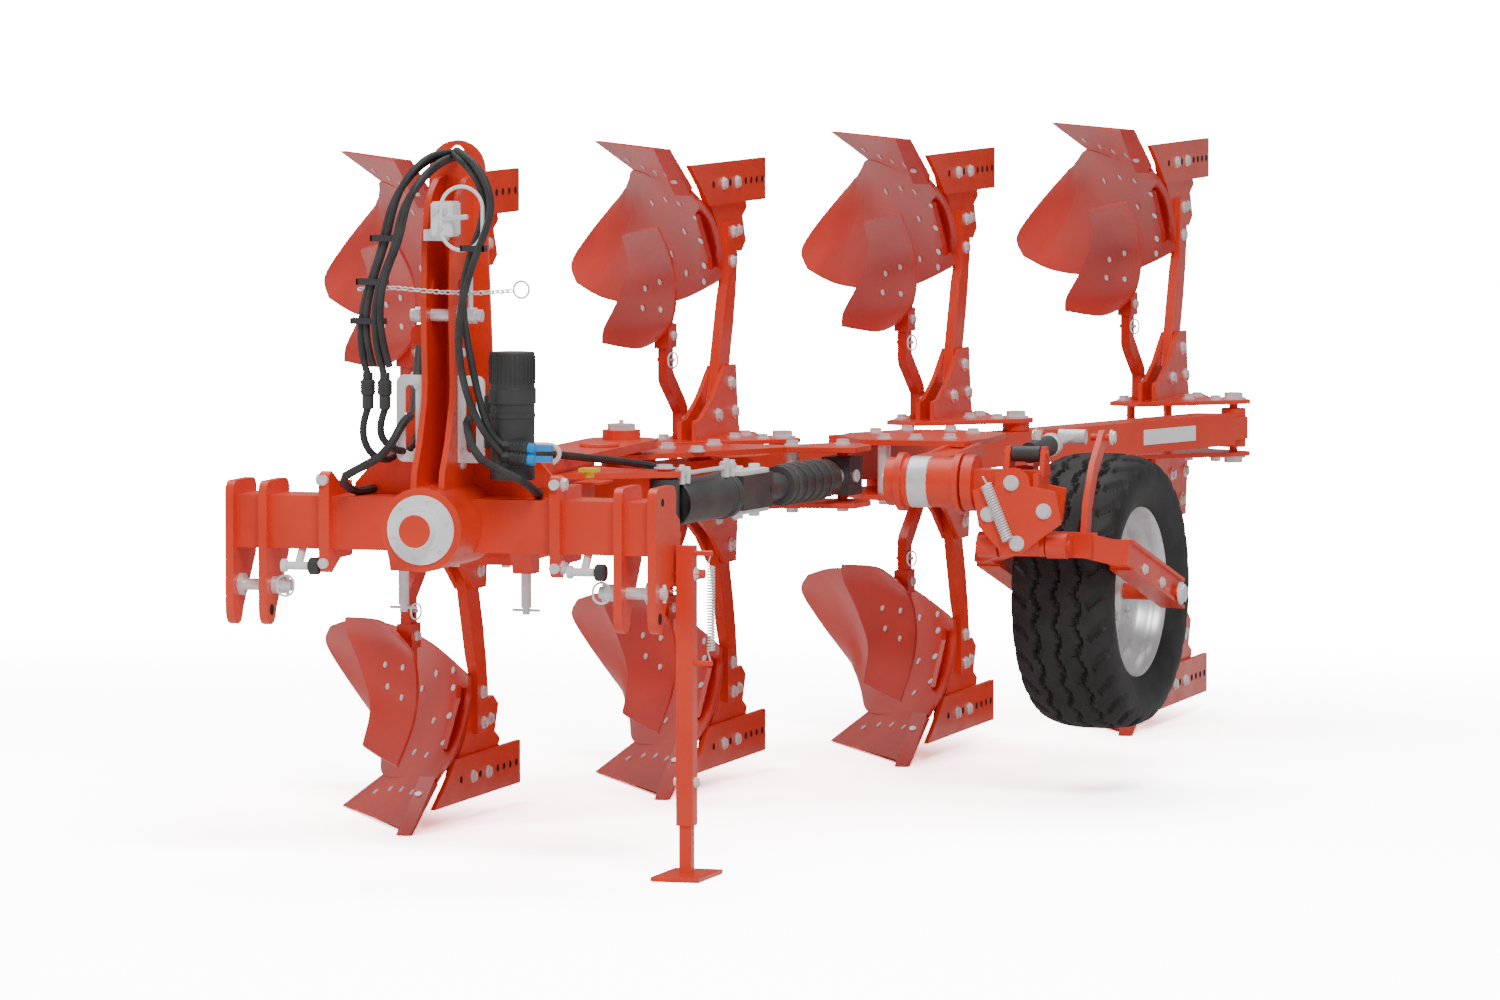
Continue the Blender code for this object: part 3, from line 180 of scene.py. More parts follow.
# Boards and shares are rolled plate: the same coat, a little flatter.
board_coat, tree, shader = principled("board_coat", (0.66, 0.024, 0.008), 0.36)
shader.inputs["Coat Weight"].default_value = 0.15
shader.inputs["Coat Roughness"].default_value = 0.30
coords, _ = noise_bump(tree, shader, 180.0, 0.10, 0.0006)
mottle(tree, shader, coords, 3.5, (0.58, 0.020, 0.007), (0.72, 0.029, 0.010), "Base Color")

node_body = {}
for body_name, nodes_in in frame["record"]["behaviour"]["bodies"].items():
    for node_name in nodes_in:
        node_body[node_name] = body_name


def dressed(node, finish, edge=0.0018):
    """A copy of a CAD node with its cut edges rounded and its curves smooth."""
    source = frame["nodes"][node]
    bm = bmesh.new()
    bm.from_mesh(source.data)
    bmesh.ops.remove_doubles(bm, verts=bm.verts, dist=0.00002)
    bmesh.ops.dissolve_limit(bm, angle_limit=math.radians(1.0), verts=bm.verts, edges=bm.edges)
    for face in bm.faces:
        face.smooth = True
    for line in bm.edges:
        line.smooth = len(line.link_faces) == 2 and line.calc_face_angle(0.0) < math.radians(32)
    mesh = bpy.data.meshes.new(node + "_dressed")
    bm.to_mesh(mesh)
    bm.free()
    mesh.materials.append(finish)
    made = bpy.data.objects.new(node + "_dressed", mesh)
    bpy.context.scene.collection.objects.link(made)
    if edge:
        rounding = made.modifiers.new("rounded_edges", "BEVEL")
        rounding.width = edge
        rounding.segments = 2
        rounding.limit_method = "ANGLE"
        rounding.angle_limit = math.radians(40)
        rounding.harden_normals = True
    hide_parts(node)
    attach(made, node_body[node])
    return made


painted = ["headstock", "mast", "stand_leg", "stand_foot", "turning_arm", "front_frame",
           "main_beam", "wheel_support", "wheel_head", "wheel_fork"]
painted += ["body_bracket_%d" % k for k in range(1, 5)]
painted += ["leg_%s_%d" % (row, k) for row in ("upper", "lower") for k in range(1, 5)]
for node in painted:
    dressed(node, coat)

# ---- zinc plated pins and white enamelled plates ---------------------------
# Turned and pressed steel: link pins, stop screws and the rods with a pale
# zinc coat; the hose plates and the bearing cover in white enamel.
zinc, tree, shader = principled("zinc_plate", (0.88, 0.88, 0.89), 0.32, 0.35)
coords, _ = noise_bump(tree, shader, 420.0, 0.08, 0.0004)
mottle(tree, shader, coords, 30.0, (0.84, 0.84, 0.85), (0.96, 0.96, 0.97), "Base Color")
white, tree, shader = principled("white_enamel", (0.94, 0.94, 0.94), 0.38)
coords, _ = noise_bump(tree, shader, 300.0, 0.06, 0.0004)
mottle(tree, shader, coords, 12.0, (0.92, 0.92, 0.92), (0.98, 0.98, 0.98), "Base Color")
for node in ("top_link_pin", "link_pin_left", "link_pin_right", "stop_screw_left",
             "stop_screw_right", "turnover_rod", "lift_rod"):
    dressed(node, zinc, 0.0008)
for node in ("hose_plate_left", "hose_plate_right", "bearing_cover"):
    dressed(node, white, 0.0010)

# ---- dark grey cylinders, canister and hoses -------------------------------
# Cylinder bodies are cast and painted dark grey; the canister is moulded
# plastic with a screw lid; hoses are black rubber with a woven cover.
dark, tree, shader = principled("dark_grey_paint", (0.055, 0.055, 0.058), 0.42)
coords, _ = noise_bump(tree, shader, 240.0, 0.15, 0.0006)
mottle(tree, shader, coords, 8.0, (0.045,) * 3, (0.070,) * 3, "Base Color")
moulded, tree, shader = principled("canister_plastic", (0.040, 0.041, 0.043), 0.50)
coords, _ = noise_bump(tree, shader, 600.0, 0.25, 0.0004)
mottle(tree, shader, coords, 14.0, (0.034,) * 3, (0.050,) * 3, "Base Color")
rubber, tree, shader = principled("hose_rubber", (0.030, 0.030, 0.031), 0.55)
coords, _ = noise_bump(tree, shader, 900.0, 0.35, 0.0004)
mottle(tree, shader, coords, 20.0, (0.024,) * 3, (0.042,) * 3, "Base Color")
for node in ("turnover_cylinder", "swing_cylinder", "width_cylinder", "lift_cylinder"):
    dressed(node, dark, 0.0015)
dressed("document_canister", moulded, 0.0015)
for node in ("hose_left", "hose_right", "swing_hose"):
    dressed(node, rubber, 0.0)

# ---- red bearing cap -------------------------------------------------------
# A painted disc pressed into the white cover ring, flush with its face.


def mesh_piece(name, bm, finish, body, smooth=40):
    """Close off a bmesh as a named piece that rides with a body."""
    bmesh.ops.recalc_face_normals(bm, faces=bm.faces)
    for face in bm.faces:
        face.smooth = True
    for line in bm.edges:
        line.smooth = len(line.link_faces) == 2 and line.calc_face_angle(0.0) < math.radians(smooth)
    mesh = bpy.data.meshes.new(name)
    bm.to_mesh(mesh)
    bm.free()
    mesh.materials.append(finish)
    made = bpy.data.objects.new(name, mesh)
    bpy.context.scene.collection.objects.link(made)
    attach(made, body)
    return made


def add_rod(bm, start, end, radius, sides=24, end_radius=None, chamfer=0.0):
    """A capped round bar between two points, with its ends chamfered."""
    start, end = Vector(start), Vector(end)
    turn = (end - start).to_track_quat("Z", "Y")
    run = (end - start).normalized()
    top = radius if end_radius is None else end_radius
    rings = [(start, radius - chamfer), (start + run * chamfer, radius),
             (end - run * chamfer, top), (end, top - chamfer)] if chamfer else \
        [(start, radius), (end, top)]
    rows = []
    for centre, size in rings:
        rows.append([bm.verts.new(centre + turn @ Vector((size * math.cos(a), size * math.sin(a), 0)))
                     for a in (2 * math.pi * i / sides for i in range(sides))])
    for low, high in zip(rows, rows[1:]):
        for i in range(sides):
            bm.faces.new((low[i], low[(i + 1) % sides], high[(i + 1) % sides], high[i]))
    bm.faces.new(rows[0])
    bm.faces.new(rows[-1])


def add_box(bm, low, high):
    size = Vector(high) - Vector(low)
    place = Matrix.Translation((Vector(low) + Vector(high)) / 2) @ Matrix.Diagonal((*size, 1.0))
    bmesh.ops.create_cube(bm, size=1.0, matrix=place)


bm = bmesh.new()
add_rod(bm, (0, -0.0012, 0), (0, 0.0006, 0), 0.0375, 48, chamfer=0.0005)
mesh_piece("bearing_cap_disc", bm, coat, "headstock_body")
bm = bmesh.new()
for i in range(6):
    a = math.radians(60 * i + 15)
    add_rod(bm, (0.0665 * math.cos(a), 0.0385, 0.0665 * math.sin(a)),
            (0.0665 * math.cos(a), 0.0420, 0.0665 * math.sin(a)), 0.0055, 6, chamfer=0.0008)
mesh_piece("bearing_cover_screws", bm, zinc, "headstock_body")

# ---- fasteners -------------------------------------------------------------
# Plated bolt heads and nuts, set on the surface they clamp. One node tree
# stands a head on every point, facing along that point's own direction.


def fastener_tree(name, finish):
    tree = bpy.data.node_groups.new(name, "GeometryNodeTree")
    face = tree.interface
    face.new_socket("Geometry", in_out="INPUT", socket_type="NodeSocketGeometry")
    for label, kind, start in (("Radius", "NodeSocketFloat", 0.01), ("Height", "NodeSocketFloat", 0.008),
                               ("Sides", "NodeSocketInt", 6)):
        face.new_socket(label, in_out="INPUT", socket_type=kind).default_value = start
    face.new_socket("Geometry", in_out="OUTPUT", socket_type="NodeSocketGeometry")
    nodes, links = tree.nodes, tree.links
    given, given_out = nodes.new("NodeGroupInput"), nodes.new("NodeGroupOutput")
    head = nodes.new("GeometryNodeMeshCylinder")
    links.new(given.outputs["Radius"], head.inputs["Radius"])
    links.new(given.outputs["Height"], head.inputs["Depth"])
    links.new(given.outputs["Sides"], head.inputs["Vertices"])
    facing = nodes.new("GeometryNodeInputNamedAttribute")
    facing.data_type = "FLOAT_VECTOR"
    facing.inputs["Name"].default_value = "facing"
    turn = nodes.new("FunctionNodeAlignRotationToVector")
    turn.axis = "Z"
    links.new(facing.outputs["Attribute"], turn.inputs["Vector"])
    stand = nodes.new("GeometryNodeInstanceOnPoints")
    links.new(given.outputs["Geometry"], stand.inputs["Points"])
    links.new(head.outputs["Mesh"], stand.inputs["Instance"])
    links.new(turn.outputs["Rotation"], stand.inputs["Rotation"])
    real = nodes.new("GeometryNodeRealizeInstances")
    coated = nodes.new("GeometryNodeSetMaterial")
    coated.inputs["Material"].default_value = finish
    links.new(stand.outputs["Instances"], real.inputs["Geometry"])
    links.new(real.outputs["Geometry"], coated.inputs["Geometry"])
    links.new(coated.outputs["Geometry"], given_out.inputs["Geometry"])
    return tree


fastener_trees = {"steel": fastener_tree("plated_fasteners", zinc),
                  "paint": fastener_tree("painted_fasteners", coat)}


def fasteners(name, spots, radius, height, body, sides=6, slot="steel"):
    """Heads at (place, direction) spots, realised as one plain mesh."""
    mesh = bpy.data.meshes.new(name)
    mesh.from_pydata([Vector(p) + Vector(d).normalized() * height * 0.42 for p, d in spots], [], [])
    facing = mesh.attributes.new("facing", "FLOAT_VECTOR", "POINT")
    for item, (_, direction) in zip(facing.data, spots):
        item.vector = Vector(direction).normalized()
    maker = bpy.data.objects.new(name, mesh)
    bpy.context.scene.collection.objects.link(maker)
    change = maker.modifiers.new("heads", "NODES")
    change.node_group = fastener_trees[slot]
    for item in change.node_group.interface.items_tree:
        if item.in_out == "INPUT" and item.name in ("Radius", "Height", "Sides"):
            change[item.identifier] = {"Radius": radius, "Height": height, "Sides": sides}[item.name]
    bpy.context.view_layer.update()
    plain = bpy.data.meshes.new_from_object(
        maker.evaluated_get(bpy.context.evaluated_depsgraph_get()))
    maker.modifiers.clear()
    maker.data = plain
    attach(maker, body)
    return maker


def stack(name, spots, radius, height, body, slot="steel"):
    """A washer under each hexagon head."""
    fasteners(name + "_washers", spots, radius * 1.28, height * 0.30, body, 20, slot)
    fasteners(name + "_heads", spots, radius, height, body, 6, slot)


# ---- moldboards and skimmers -----------------------------------------------
# Each moldboard is one pressed sheet, hollow in the middle and turned over at
# the wing, with a share and a bar point below it. A small skimmer of the same
# steel stands in front on a bent stem.
BODY_PITCH, FURROW, AXIS_HEIGHT = 0.941, 0.3634, 0.81
FIRST_TIP = Vector((-0.374, 0.976))


def share_point(k):
    return FIRST_TIP + Vector((FURROW, BODY_PITCH)) * (k - 1)


def along_curve(points, t):
    """Smooth curve through the points, t from 0 to 1."""
    last = len(points) - 1
    at = min(t * last, last - 1e-9)
    i = int(at)
    f = at - i
    p = [Vector(points[max(0, min(last, i + k))]) for k in (-1, 0, 1, 2)]
    return 0.5 * (2 * p[1] + (p[2] - p[0]) * f + (2 * p[0] - 5 * p[1] + 4 * p[2] - p[3]) * f * f
                  + (3 * p[1] - p[0] - 3 * p[2] + p[3]) * f ** 3)


def add_loft(bm, first, second):
    """Two closed outlines with the same count, joined and capped."""
    rows = [[bm.verts.new(p) for p in ring] for ring in (first, second)]
    count = len(first)
    for i in range(count):
        j = (i + 1) % count
        bm.faces.new((rows[0][i], rows[0][j], rows[1][j], rows[1][i]))
    bm.faces.new(rows[0])
    bm.faces.new(rows[1])


def add_sheet(bm, grid, thickness):
    """A grid of surface points thickened to a closed sheet."""
    rows, cols = len(grid), len(grid[0])

    def normal(i, j):
        a = grid[min(i + 1, rows - 1)][j] - grid[max(i - 1, 0)][j]
        b = grid[i][min(j + 1, cols - 1)] - grid[i][max(j - 1, 0)]
        return a.cross(b).normalized()

    front = [[bm.verts.new(p) for p in line] for line in grid]
    back = [[bm.verts.new(grid[i][j] + normal(i, j) * thickness) for j in range(cols)]
            for i in range(rows)]
    for i in range(rows - 1):
        for j in range(cols - 1):
            for side in (front, back):
                bm.faces.new((side[i][j], side[i + 1][j], side[i + 1][j + 1], side[i][j + 1]))
    rim = ([(i, 0) for i in range(rows)] + [(rows - 1, j) for j in range(1, cols)]
           + [(i, cols - 1) for i in range(rows - 2, -1, -1)]
           + [(0, j) for j in range(cols - 2, 0, -1)])
    for (a, b), (c, d) in zip(rim, rim[1:] + rim[:1]):
        bm.faces.new((front[a][b], front[c][d], back[c][d], back[a][b]))


shin = [(0.045, 0.190, 0.110), (0.045, 0.342, 0.184), (0.045, 0.435, 0.281), (0.045, 0.451, 0.343)]
lower_edge = [(0.045, 0.190, 0.110), (-0.096, 0.411, 0.091), (-0.238, 0.632, 0.072),
              (-0.330, 0.890, 0.105), (-0.427, 1.154, 0.157)]
upper_edge = [(0.045, 0.451, 0.343), (-0.124, 0.649, 0.407), (-0.300, 0.860, 0.430),
              (-0.450, 1.035, 0.425), (-0.560, 1.160, 0.395)]
wing_end = [(-0.427, 1.154, 0.157), (-0.540, 1.225, 0.265), (-0.596, 1.242, 0.345),
            (-0.560, 1.160, 0.395)]
hollow_way = Vector((0.80, 0.60, -0.35)).normalized()
board_rows, board_cols = 44, 24
board_points = []
for i in range(board_rows + 1):
    v = i / board_rows
    low, high = along_curve(lower_edge, v), along_curve(upper_edge, v)
    line = []
    for j in range(board_cols + 1):
        u = j / board_cols
        point = low.lerp(high, u) + hollow_way * 4 * u * (1 - u) * 0.065 * v ** 0.35
        # the shin and the wing's end keep their own outlines, eased in over the sheet
        start = along_curve(shin, u) - (low.lerp(high, u) if i == 0 else
                                        Vector(lower_edge[0]).lerp(Vector(upper_edge[0]), u))
        close = (along_curve(wing_end, u) - Vector(lower_edge[-1]).lerp(Vector(upper_edge[-1]), u)
                 - hollow_way * 4 * u * (1 - u) * 0.065)
        point = point + start * max(0.0, 1 - v * 7) + close * max(0.0, 1 - (1 - v) * 7)
        line.append(point)
    board_points.append(line)
share_edge = [(0.012, 0.035, 0.010), (-0.338, 0.590, 0.001), (-0.246, 0.640, 0.078),
              (0.037, 0.197, 0.120)]
share_under = [(0.012, 0.050, 0.000), (-0.325, 0.598, 0.000), (-0.222, 0.652, 0.066),
               (0.037, 0.214, 0.102)]
point_front = [(0.0, 0.0, 0.0), (0.036, 0.0, 0.0), (0.037, 0.196, 0.122), (-0.004, 0.196, 0.122)]
point_rear = [(0.0, 0.020, 0.0), (0.036, 0.020, 0.0), (0.037, 0.214, 0.102), (-0.004, 0.214, 0.102)]
rib = [(0.340, 0.175), (0.450, 0.290), (0.456, 0.320), (0.490, 0.300), (0.470, 0.200), (0.400, 0.150)]
skim_lines = [[(0.066, -0.178, 0.182), (-0.004, -0.098, 0.195), (-0.075, -0.015, 0.212)],
              [(0.062, -0.045, 0.270), (-0.020, 0.040, 0.280), (-0.100, 0.120, 0.300)],
              [(0.066, -0.020, 0.350), (-0.030, 0.080, 0.370), (-0.150, 0.200, 0.385)],
              [(0.040, 0.030, 0.430), (-0.050, 0.120, 0.450), (-0.205, 0.262, 0.460)],
              [(-0.010, 0.060, 0.480), (-0.085, 0.140, 0.505), (-0.208, 0.255, 0.500)]]
foot_height = AXIS_HEIGHT - 0.0763
stem = [(0.225, foot_height), (0.225, 0.668), (0.110, 0.590), (0.100, 0.575), (0.100, 0.345),
        (0.155, 0.345), (0.155, 0.560), (0.265, 0.640), (0.280, 0.655), (0.280, foot_height)]
stem_sleeve = [(0.092, 0.440), (0.092, 0.500), (0.163, 0.500), (0.163, 0.440)]
stem_web = [(0.058, 0.315), (0.070, 0.365), (0.090, 0.430), (0.112, 0.440), (0.112, 0.330)]
box_low, box_high = -0.0200, 0.0040
smooth_sheets = {}
for k in range(1, 5):
    tip = share_point(k)
    for row, side in (("upper", 1), ("lower", -1)):
        def at(a, b, h):
            return Vector((tip.x + a, tip.y + b, side * (AXIS_HEIGHT - h)))

        def flat(bm, outline, low, high):
            add_loft(bm, [at(low, b, h) for b, h in outline], [at(high, b, h) for b, h in outline])

        bm = bmesh.new()
        add_sheet(bm, [[at(*p) for p in line] for line in board_points], 0.008 * side)
        add_loft(bm, [at(*p) for p in share_edge], [at(*p) for p in share_under])
        add_loft(bm, [at(*p) for p in point_front], [at(*p) for p in point_rear])
        flat(bm, rib, 0.0057, 0.0177)
        node = "moldboard_%s_%d" % (row, k)
        made = mesh_piece(node + "_pressed", bm, board_coat, node_body[node], 30)
        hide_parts(node)
        smooth_sheets[node] = made.data
        node = "skimmer_%s_%d" % (row, k)
        bm = bmesh.new()
        flat(bm, stem, box_low, box_high)
        flat(bm, stem_sleeve, box_low - 0.007, box_high + 0.007)
        flat(bm, stem_web, box_low + 0.002, box_high - 0.002)
        lines = [[along_curve(line, j / 16) for j in range(17)] for line in skim_lines]
        sheet = [[at(*along_curve([line[j] for line in lines], i / 28)) for j in range(17)]
                 for i in range(29)]
        add_sheet(bm, sheet, -0.007 * side)
        made = mesh_piece(node + "_pressed", bm, board_coat, node_body[node], 34)
        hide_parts(node)
        smooth_sheets[node] = made.data

# ---- board, share and skimmer bolts ----------------------------------------
# Flush plough bolts hold each board and share to the frog. Each one is found
# by dropping a line on to the working face from in front of it.


def node_surface(node):
    source = smooth_sheets.get(node) or frame["nodes"][node].data
    source.calc_loop_triangles()
    return BVHTree.FromPolygons([v.co for v in source.vertices],
                                [t.vertices for t in source.loop_triangles])


def on_face(surface, start, direction):
    hit, normal, _, _ = surface.ray_cast(Vector(start), Vector(direction))
    if hit is None:
        return None
    if normal.dot(Vector(direction)) > 0:
        normal = -normal
    return hit, normal


board_bolts = [(-0.005, 0.185), (-0.010, 0.245), (-0.014, 0.310), (-0.060, 0.150), (-0.125, 0.145),
               (-0.075, 0.225), (-0.090, 0.335), (-0.150, 0.290), (-0.205, 0.160), (-0.020, 0.352)]
share_bolts = [(-0.045, 0.075), (-0.105, 0.070), (-0.165, 0.060), (-0.225, 0.045), (0.012, 0.085)]
skimmer_bolts = [(0.010, 0.330), (-0.045, 0.350), (0.005, 0.400), (-0.060, 0.400)]
for k in range(1, 5):
    tip = share_point(k)
    for row, side in (("upper", 1), ("lower", -1)):
        board = node_surface("moldboard_%s_%d" % (row, k))
        skim = node_surface("skimmer_%s_%d" % (row, k))
        spots = [on_face(board, (tip.x + a, tip.y - 0.4, side * (AXIS_HEIGHT - h)), (0, 1, 0))
                 for a, h in board_bolts + share_bolts]
        fasteners("board_bolts_%s_%d" % (row, k), [s for s in spots if s], 0.0085, 0.003,
                  "main_frame", 20)
        spots = [on_face(skim, (tip.x + a, tip.y - 0.4, side * (AXIS_HEIGHT - h)), (0, 1, 0))
                 for a, h in skimmer_bolts]
        fasteners("skimmer_bolts_%s_%d" % (row, k), [s for s in spots if s], 0.0075, 0.003,
                  "main_frame", 20)

# ---- landside, frog and leg fasteners --------------------------------------
# Hexagon bolts through the landside, the frog and the cheeks round each leg,
# with a row of spare holes along the landside, drawn as thin dark discs of painted shade.
# painted shade: this near-black matt colour on the hole discs stands in for the shade inside open holes
bore_dark, tree, shader = principled("dark_bore", (0.012, 0.008, 0.007), 0.9)
coords, _ = noise_bump(tree, shader, 200.0, 0.1, 0.0004)
fastener_trees["bore"] = fastener_tree("dark_bores", bore_dark)


# a thin dark disc on the face wherever a hole is: painted shade in place of the open hole
def hole_shade_discs(name, spots, radius, body):
    made = fasteners(name, spots, radius, 0.0012, body, 20, "bore")


for k in range(1, 5):
    tip = share_point(k)
    for row, side in (("upper", 1), ("lower", -1)):
        face_x = tip.x + 0.0514

        def at(b, h, x=face_x):
            return (x, tip.y + b, side * (AXIS_HEIGHT - h))

        out = (1, 0, 0)
        stack("landside_bolts_%s_%d" % (row, k), [(at(0.440, 0.100), out), (at(0.560, 0.100), out)],
              0.013, 0.010, "main_frame")
        hole_shade_discs("landside_hole_shade_%s_%d" % (row, k),
                   [(at(b, 0.100), out) for b in (0.350, 0.500, 0.640, 0.690, 0.740, 0.790)], 0.0085,
                   "main_frame")
        leg_x = tip.x + 0.0525
        stack("leg_bolts_%s_%d" % (row, k), [(at(0.520, 0.225, leg_x), out), (at(0.515, 0.300, leg_x), out)],
              0.013, 0.012, "main_frame")
        frog_x = tip.x + 0.038
        stack("frog_bolts_%s_%d" % (row, k), [(at(0.620, 0.225, frog_x), out)], 0.012, 0.010,
              "main_frame")
        cheek_x = tip.x + 0.0648
        stack("cheek_bolts_%s_%d" % (row, k),
              [((cheek_x, tip.y + b, side * z), out)
               for b, z in ((0.455, 0.205), (0.490, 0.130), (0.340, 0.130))],
              0.014, 0.012, "main_frame")
        far_x = tip.x + 0.0152
        stack("cheek_nuts_%s_%d" % (row, k),
              [((far_x, tip.y + b, side * z), (-1, 0, 0)) for b, z in ((0.455, 0.205), (0.490, 0.130))],
              0.014, 0.012, "main_frame")
        # depth pin and ring on the skimmer stem, and the sleeve's clamp bolts
        stem_x = tip.x + 0.004
        stack("sleeve_bolts_%s_%d" % (row, k),
              [((tip.x + 0.011, tip.y + 0.127, side * (AXIS_HEIGHT - 0.470)), out)],
              0.010, 0.012, "main_frame")
        # the stem's depth holes are thin dark discs: painted shade in place of open holes
        hole_shade_discs("stem_hole_shade_%s_%d" % (row, k),
                   [((stem_x, tip.y + 0.127, side * (AXIS_HEIGHT - h)), out) for h in (0.520, 0.545)],
                   0.006, "main_frame")
        stack("stem_clamp_%s_%d" % (row, k),
              [((stem_x, tip.y + 0.252, side * (AXIS_HEIGHT - h)), out) for h in (0.715, 0.690)],
              0.011, 0.010, "main_frame")

# ---- bracket bolts ---------------------------------------------------------
# Each body bracket is clamped to the beam by upright bolts, with the pivot's
# large nut over the beam line.
for k in range(1, 5):
    tip = share_point(k)
    for side in (-1, 1):
        top = side * 0.076
        up = (0, 0, side)
        row = "top" if side > 0 else "under"
        stack("bracket_pivot_%s_%d" % (row, k), [((tip.x + 0.237, tip.y + 0.331, top), up)],
              0.016 if k == 1 else 0.026, 0.006 if k == 1 else 0.020, "main_frame")
        if k > 1:
            stack("bracket_bolts_%s_%d" % (row, k),
                  [((tip.x + a, tip.y + b, top), up) for a, b in
                   ((-0.035, 0.200), (-0.035, 0.440), (0.120, 0.300), (0.120, 0.400), (0.200, 0.280))],
                  0.014, 0.014, "main_frame")
        else:
            stack("bracket_bolts_%s_%d" % (row, k),
                  [((tip.x + a, tip.y + b, top), up) for a, b in ((-0.035, 0.200), (-0.035, 0.440))],
                  0.014, 0.012, "main_frame")

# ---- headstock fasteners ---------------------------------------------------
# Clamp bars and link plates are bolted along the cross beam; the pins have
# linchpins with spring rings at their free ends.
for side, word in ((-1, "right"), (1, "left")):
    out = (side, 0, 0)
    clamp_outer = {-1: -0.291, 1: 0.290}[side]
    stack("clamp_bolts_" + word,
          [((clamp_outer, 0.200, z), out) for z in (0.100, -0.092)], 0.013, 0.012, "headstock_body")
    fasteners("clamp_front_heads_" + word,
              [((side * 0.2785, 0.176, z), (0, -1, 0)) for z in (0.100, -0.092)], 0.012, 0.010,
              "headstock_body", 20)
    # the link plates' pin holes are thin dark discs: painted shade in place of open holes
    hole_shade_discs("link_plate_hole_shade_" + word,
               [((side * 0.519, 0.211, -0.205), out), ((side * 0.4182, 0.211, -0.205), (-side, 0, 0))],
               0.013, "headstock_body")
    hole_shade_discs("link_plate_upper_hole_shade_" + word,
               [((side * 0.519, 0.232, 0.060), out)], 0.009, "headstock_body")

# ---- hose bundles on the mast ----------------------------------------------
# Rubber hydraulic hoses hang from the eye at the top of the mast, fan out at
# both sides, and are clipped together before they reach their couplers.


def tube(name, points, radius, finish, body, turns=12):
    """Round tube on a smooth open path, as a closed mesh with capped ends."""
    route = bpy.data.curves.new(name, "CURVE")
    route.dimensions = "3D"
    spline = route.splines.new("NURBS")
    spline.points.add(len(points) - 1)
    for knot, place in zip(spline.points, points):
        knot.co = (*place, 1.0)
    spline.order_u = 4
    spline.use_endpoint_u = True
    route.resolution_u = 8
    route.bevel_depth = radius
    route.bevel_resolution = turns // 4
    route.use_fill_caps = True
    maker = bpy.data.objects.new(name, route)
    bpy.context.scene.collection.objects.link(maker)
    bpy.context.view_layer.update()
    mesh = bpy.data.meshes.new_from_object(
        maker.evaluated_get(bpy.context.evaluated_depsgraph_get()))
    bpy.data.objects.remove(maker)
    mesh.materials.clear()
    mesh.materials.append(finish)
    for face in mesh.polygons:
        face.use_smooth = True
    made = bpy.data.objects.new(name, mesh)
    bpy.context.scene.collection.objects.link(made)
    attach(made, body)
    return made


hose_radius = 0.0085
left_outer = [(0.000, 0.300, 0.848), (-0.020, 0.215, 0.855), (-0.076, 0.150, 0.792),
              (-0.112, 0.146, 0.713), (-0.128, 0.146, 0.621), (-0.173, 0.146, 0.517),
              (-0.183, 0.146, 0.414), (-0.160, 0.146, 0.345)]
left_inner = [(0.006, 0.300, 0.842), (-0.005, 0.215, 0.838), (-0.050, 0.128, 0.771),
              (-0.078, 0.126, 0.700), (-0.086, 0.126, 0.640), (-0.118, 0.126, 0.575),
              (-0.142, 0.126, 0.490), (-0.134, 0.130, 0.404), (-0.118, 0.140, 0.345)]
right_outer = [(0.004, 0.300, 0.856), (0.040, 0.190, 0.862), (0.118, 0.110, 0.838),
               (0.163, 0.106, 0.740), (0.125, 0.106, 0.655), (0.084, 0.106, 0.546),
               (0.066, 0.106, 0.431), (0.084, 0.110, 0.306), (0.123, 0.125, 0.215),
               (0.168, 0.146, 0.165)]
right_inner = [(-0.002, 0.300, 0.852), (0.030, 0.200, 0.850), (0.092, 0.128, 0.830),
               (0.140, 0.126, 0.745), (0.104, 0.126, 0.655), (0.066, 0.126, 0.540),
               (0.090, 0.126, 0.408), (0.116, 0.128, 0.275), (0.140, 0.140, 0.205),
               (0.166, 0.150, 0.190)]
for name, route, shift in (("mast_hose_1", left_outer, 0.000), ("mast_hose_2", left_inner, 0.000),
                           ("mast_hose_3", left_outer, 0.021), ("mast_hose_4", left_inner, 0.020),
                           ("mast_hose_5", right_outer, 0.0), ("mast_hose_6", right_inner, 0.0)):
    ease = [0.0, 0.3] + [1.0] * (len(route) - 2)
    points = [(x + shift * e * 0.7, y - shift * e * 0.2, z + shift * e) for (x, y, z), e in zip(route, ease)]
    tube(name, points, hose_radius, rubber, "headstock_body")
# the left pair loops under its couplers and up behind the mast
for number, (x, low) in enumerate(((-0.160, 0.170), (-0.118, 0.190))):
    tube("mast_hose_loop_%d" % (number + 1),
         [(x, 0.146, 0.270), (x - 0.018, 0.146, 0.225), (x - 0.008, 0.150, low),
          (x + 0.030, 0.170, low - 0.025), (x + 0.035, 0.240, low - 0.020), (x + 0.020, 0.314, low + 0.005)],
         hose_radius, rubber, "headstock_body")
# spiral clips that hold the hoses side by side
for number, (centre, across) in enumerate((((-0.116, 0.140, 0.660), 0.062), ((-0.146, 0.139, 0.560), 0.070),
                                           ((-0.156, 0.139, 0.470), 0.080), ((0.105, 0.116, 0.640), 0.056))):
    bm = bmesh.new()
    cx, cy, cz = centre
    for dy in (-0.012, 0.011):
        add_box(bm, (cx - across / 2, cy + dy - 0.002, cz - 0.007),
                (cx + across / 2, cy + dy + 0.002, cz + 0.007))
    for dx in (-across / 2, across / 2 - 0.004):
        add_box(bm, (cx + dx, cy - 0.014, cz - 0.007), (cx + dx + 0.004, cy + 0.013, cz + 0.007))
    mesh_piece("hose_clip_%d" % (number + 1), bm, moulded, "headstock_body")

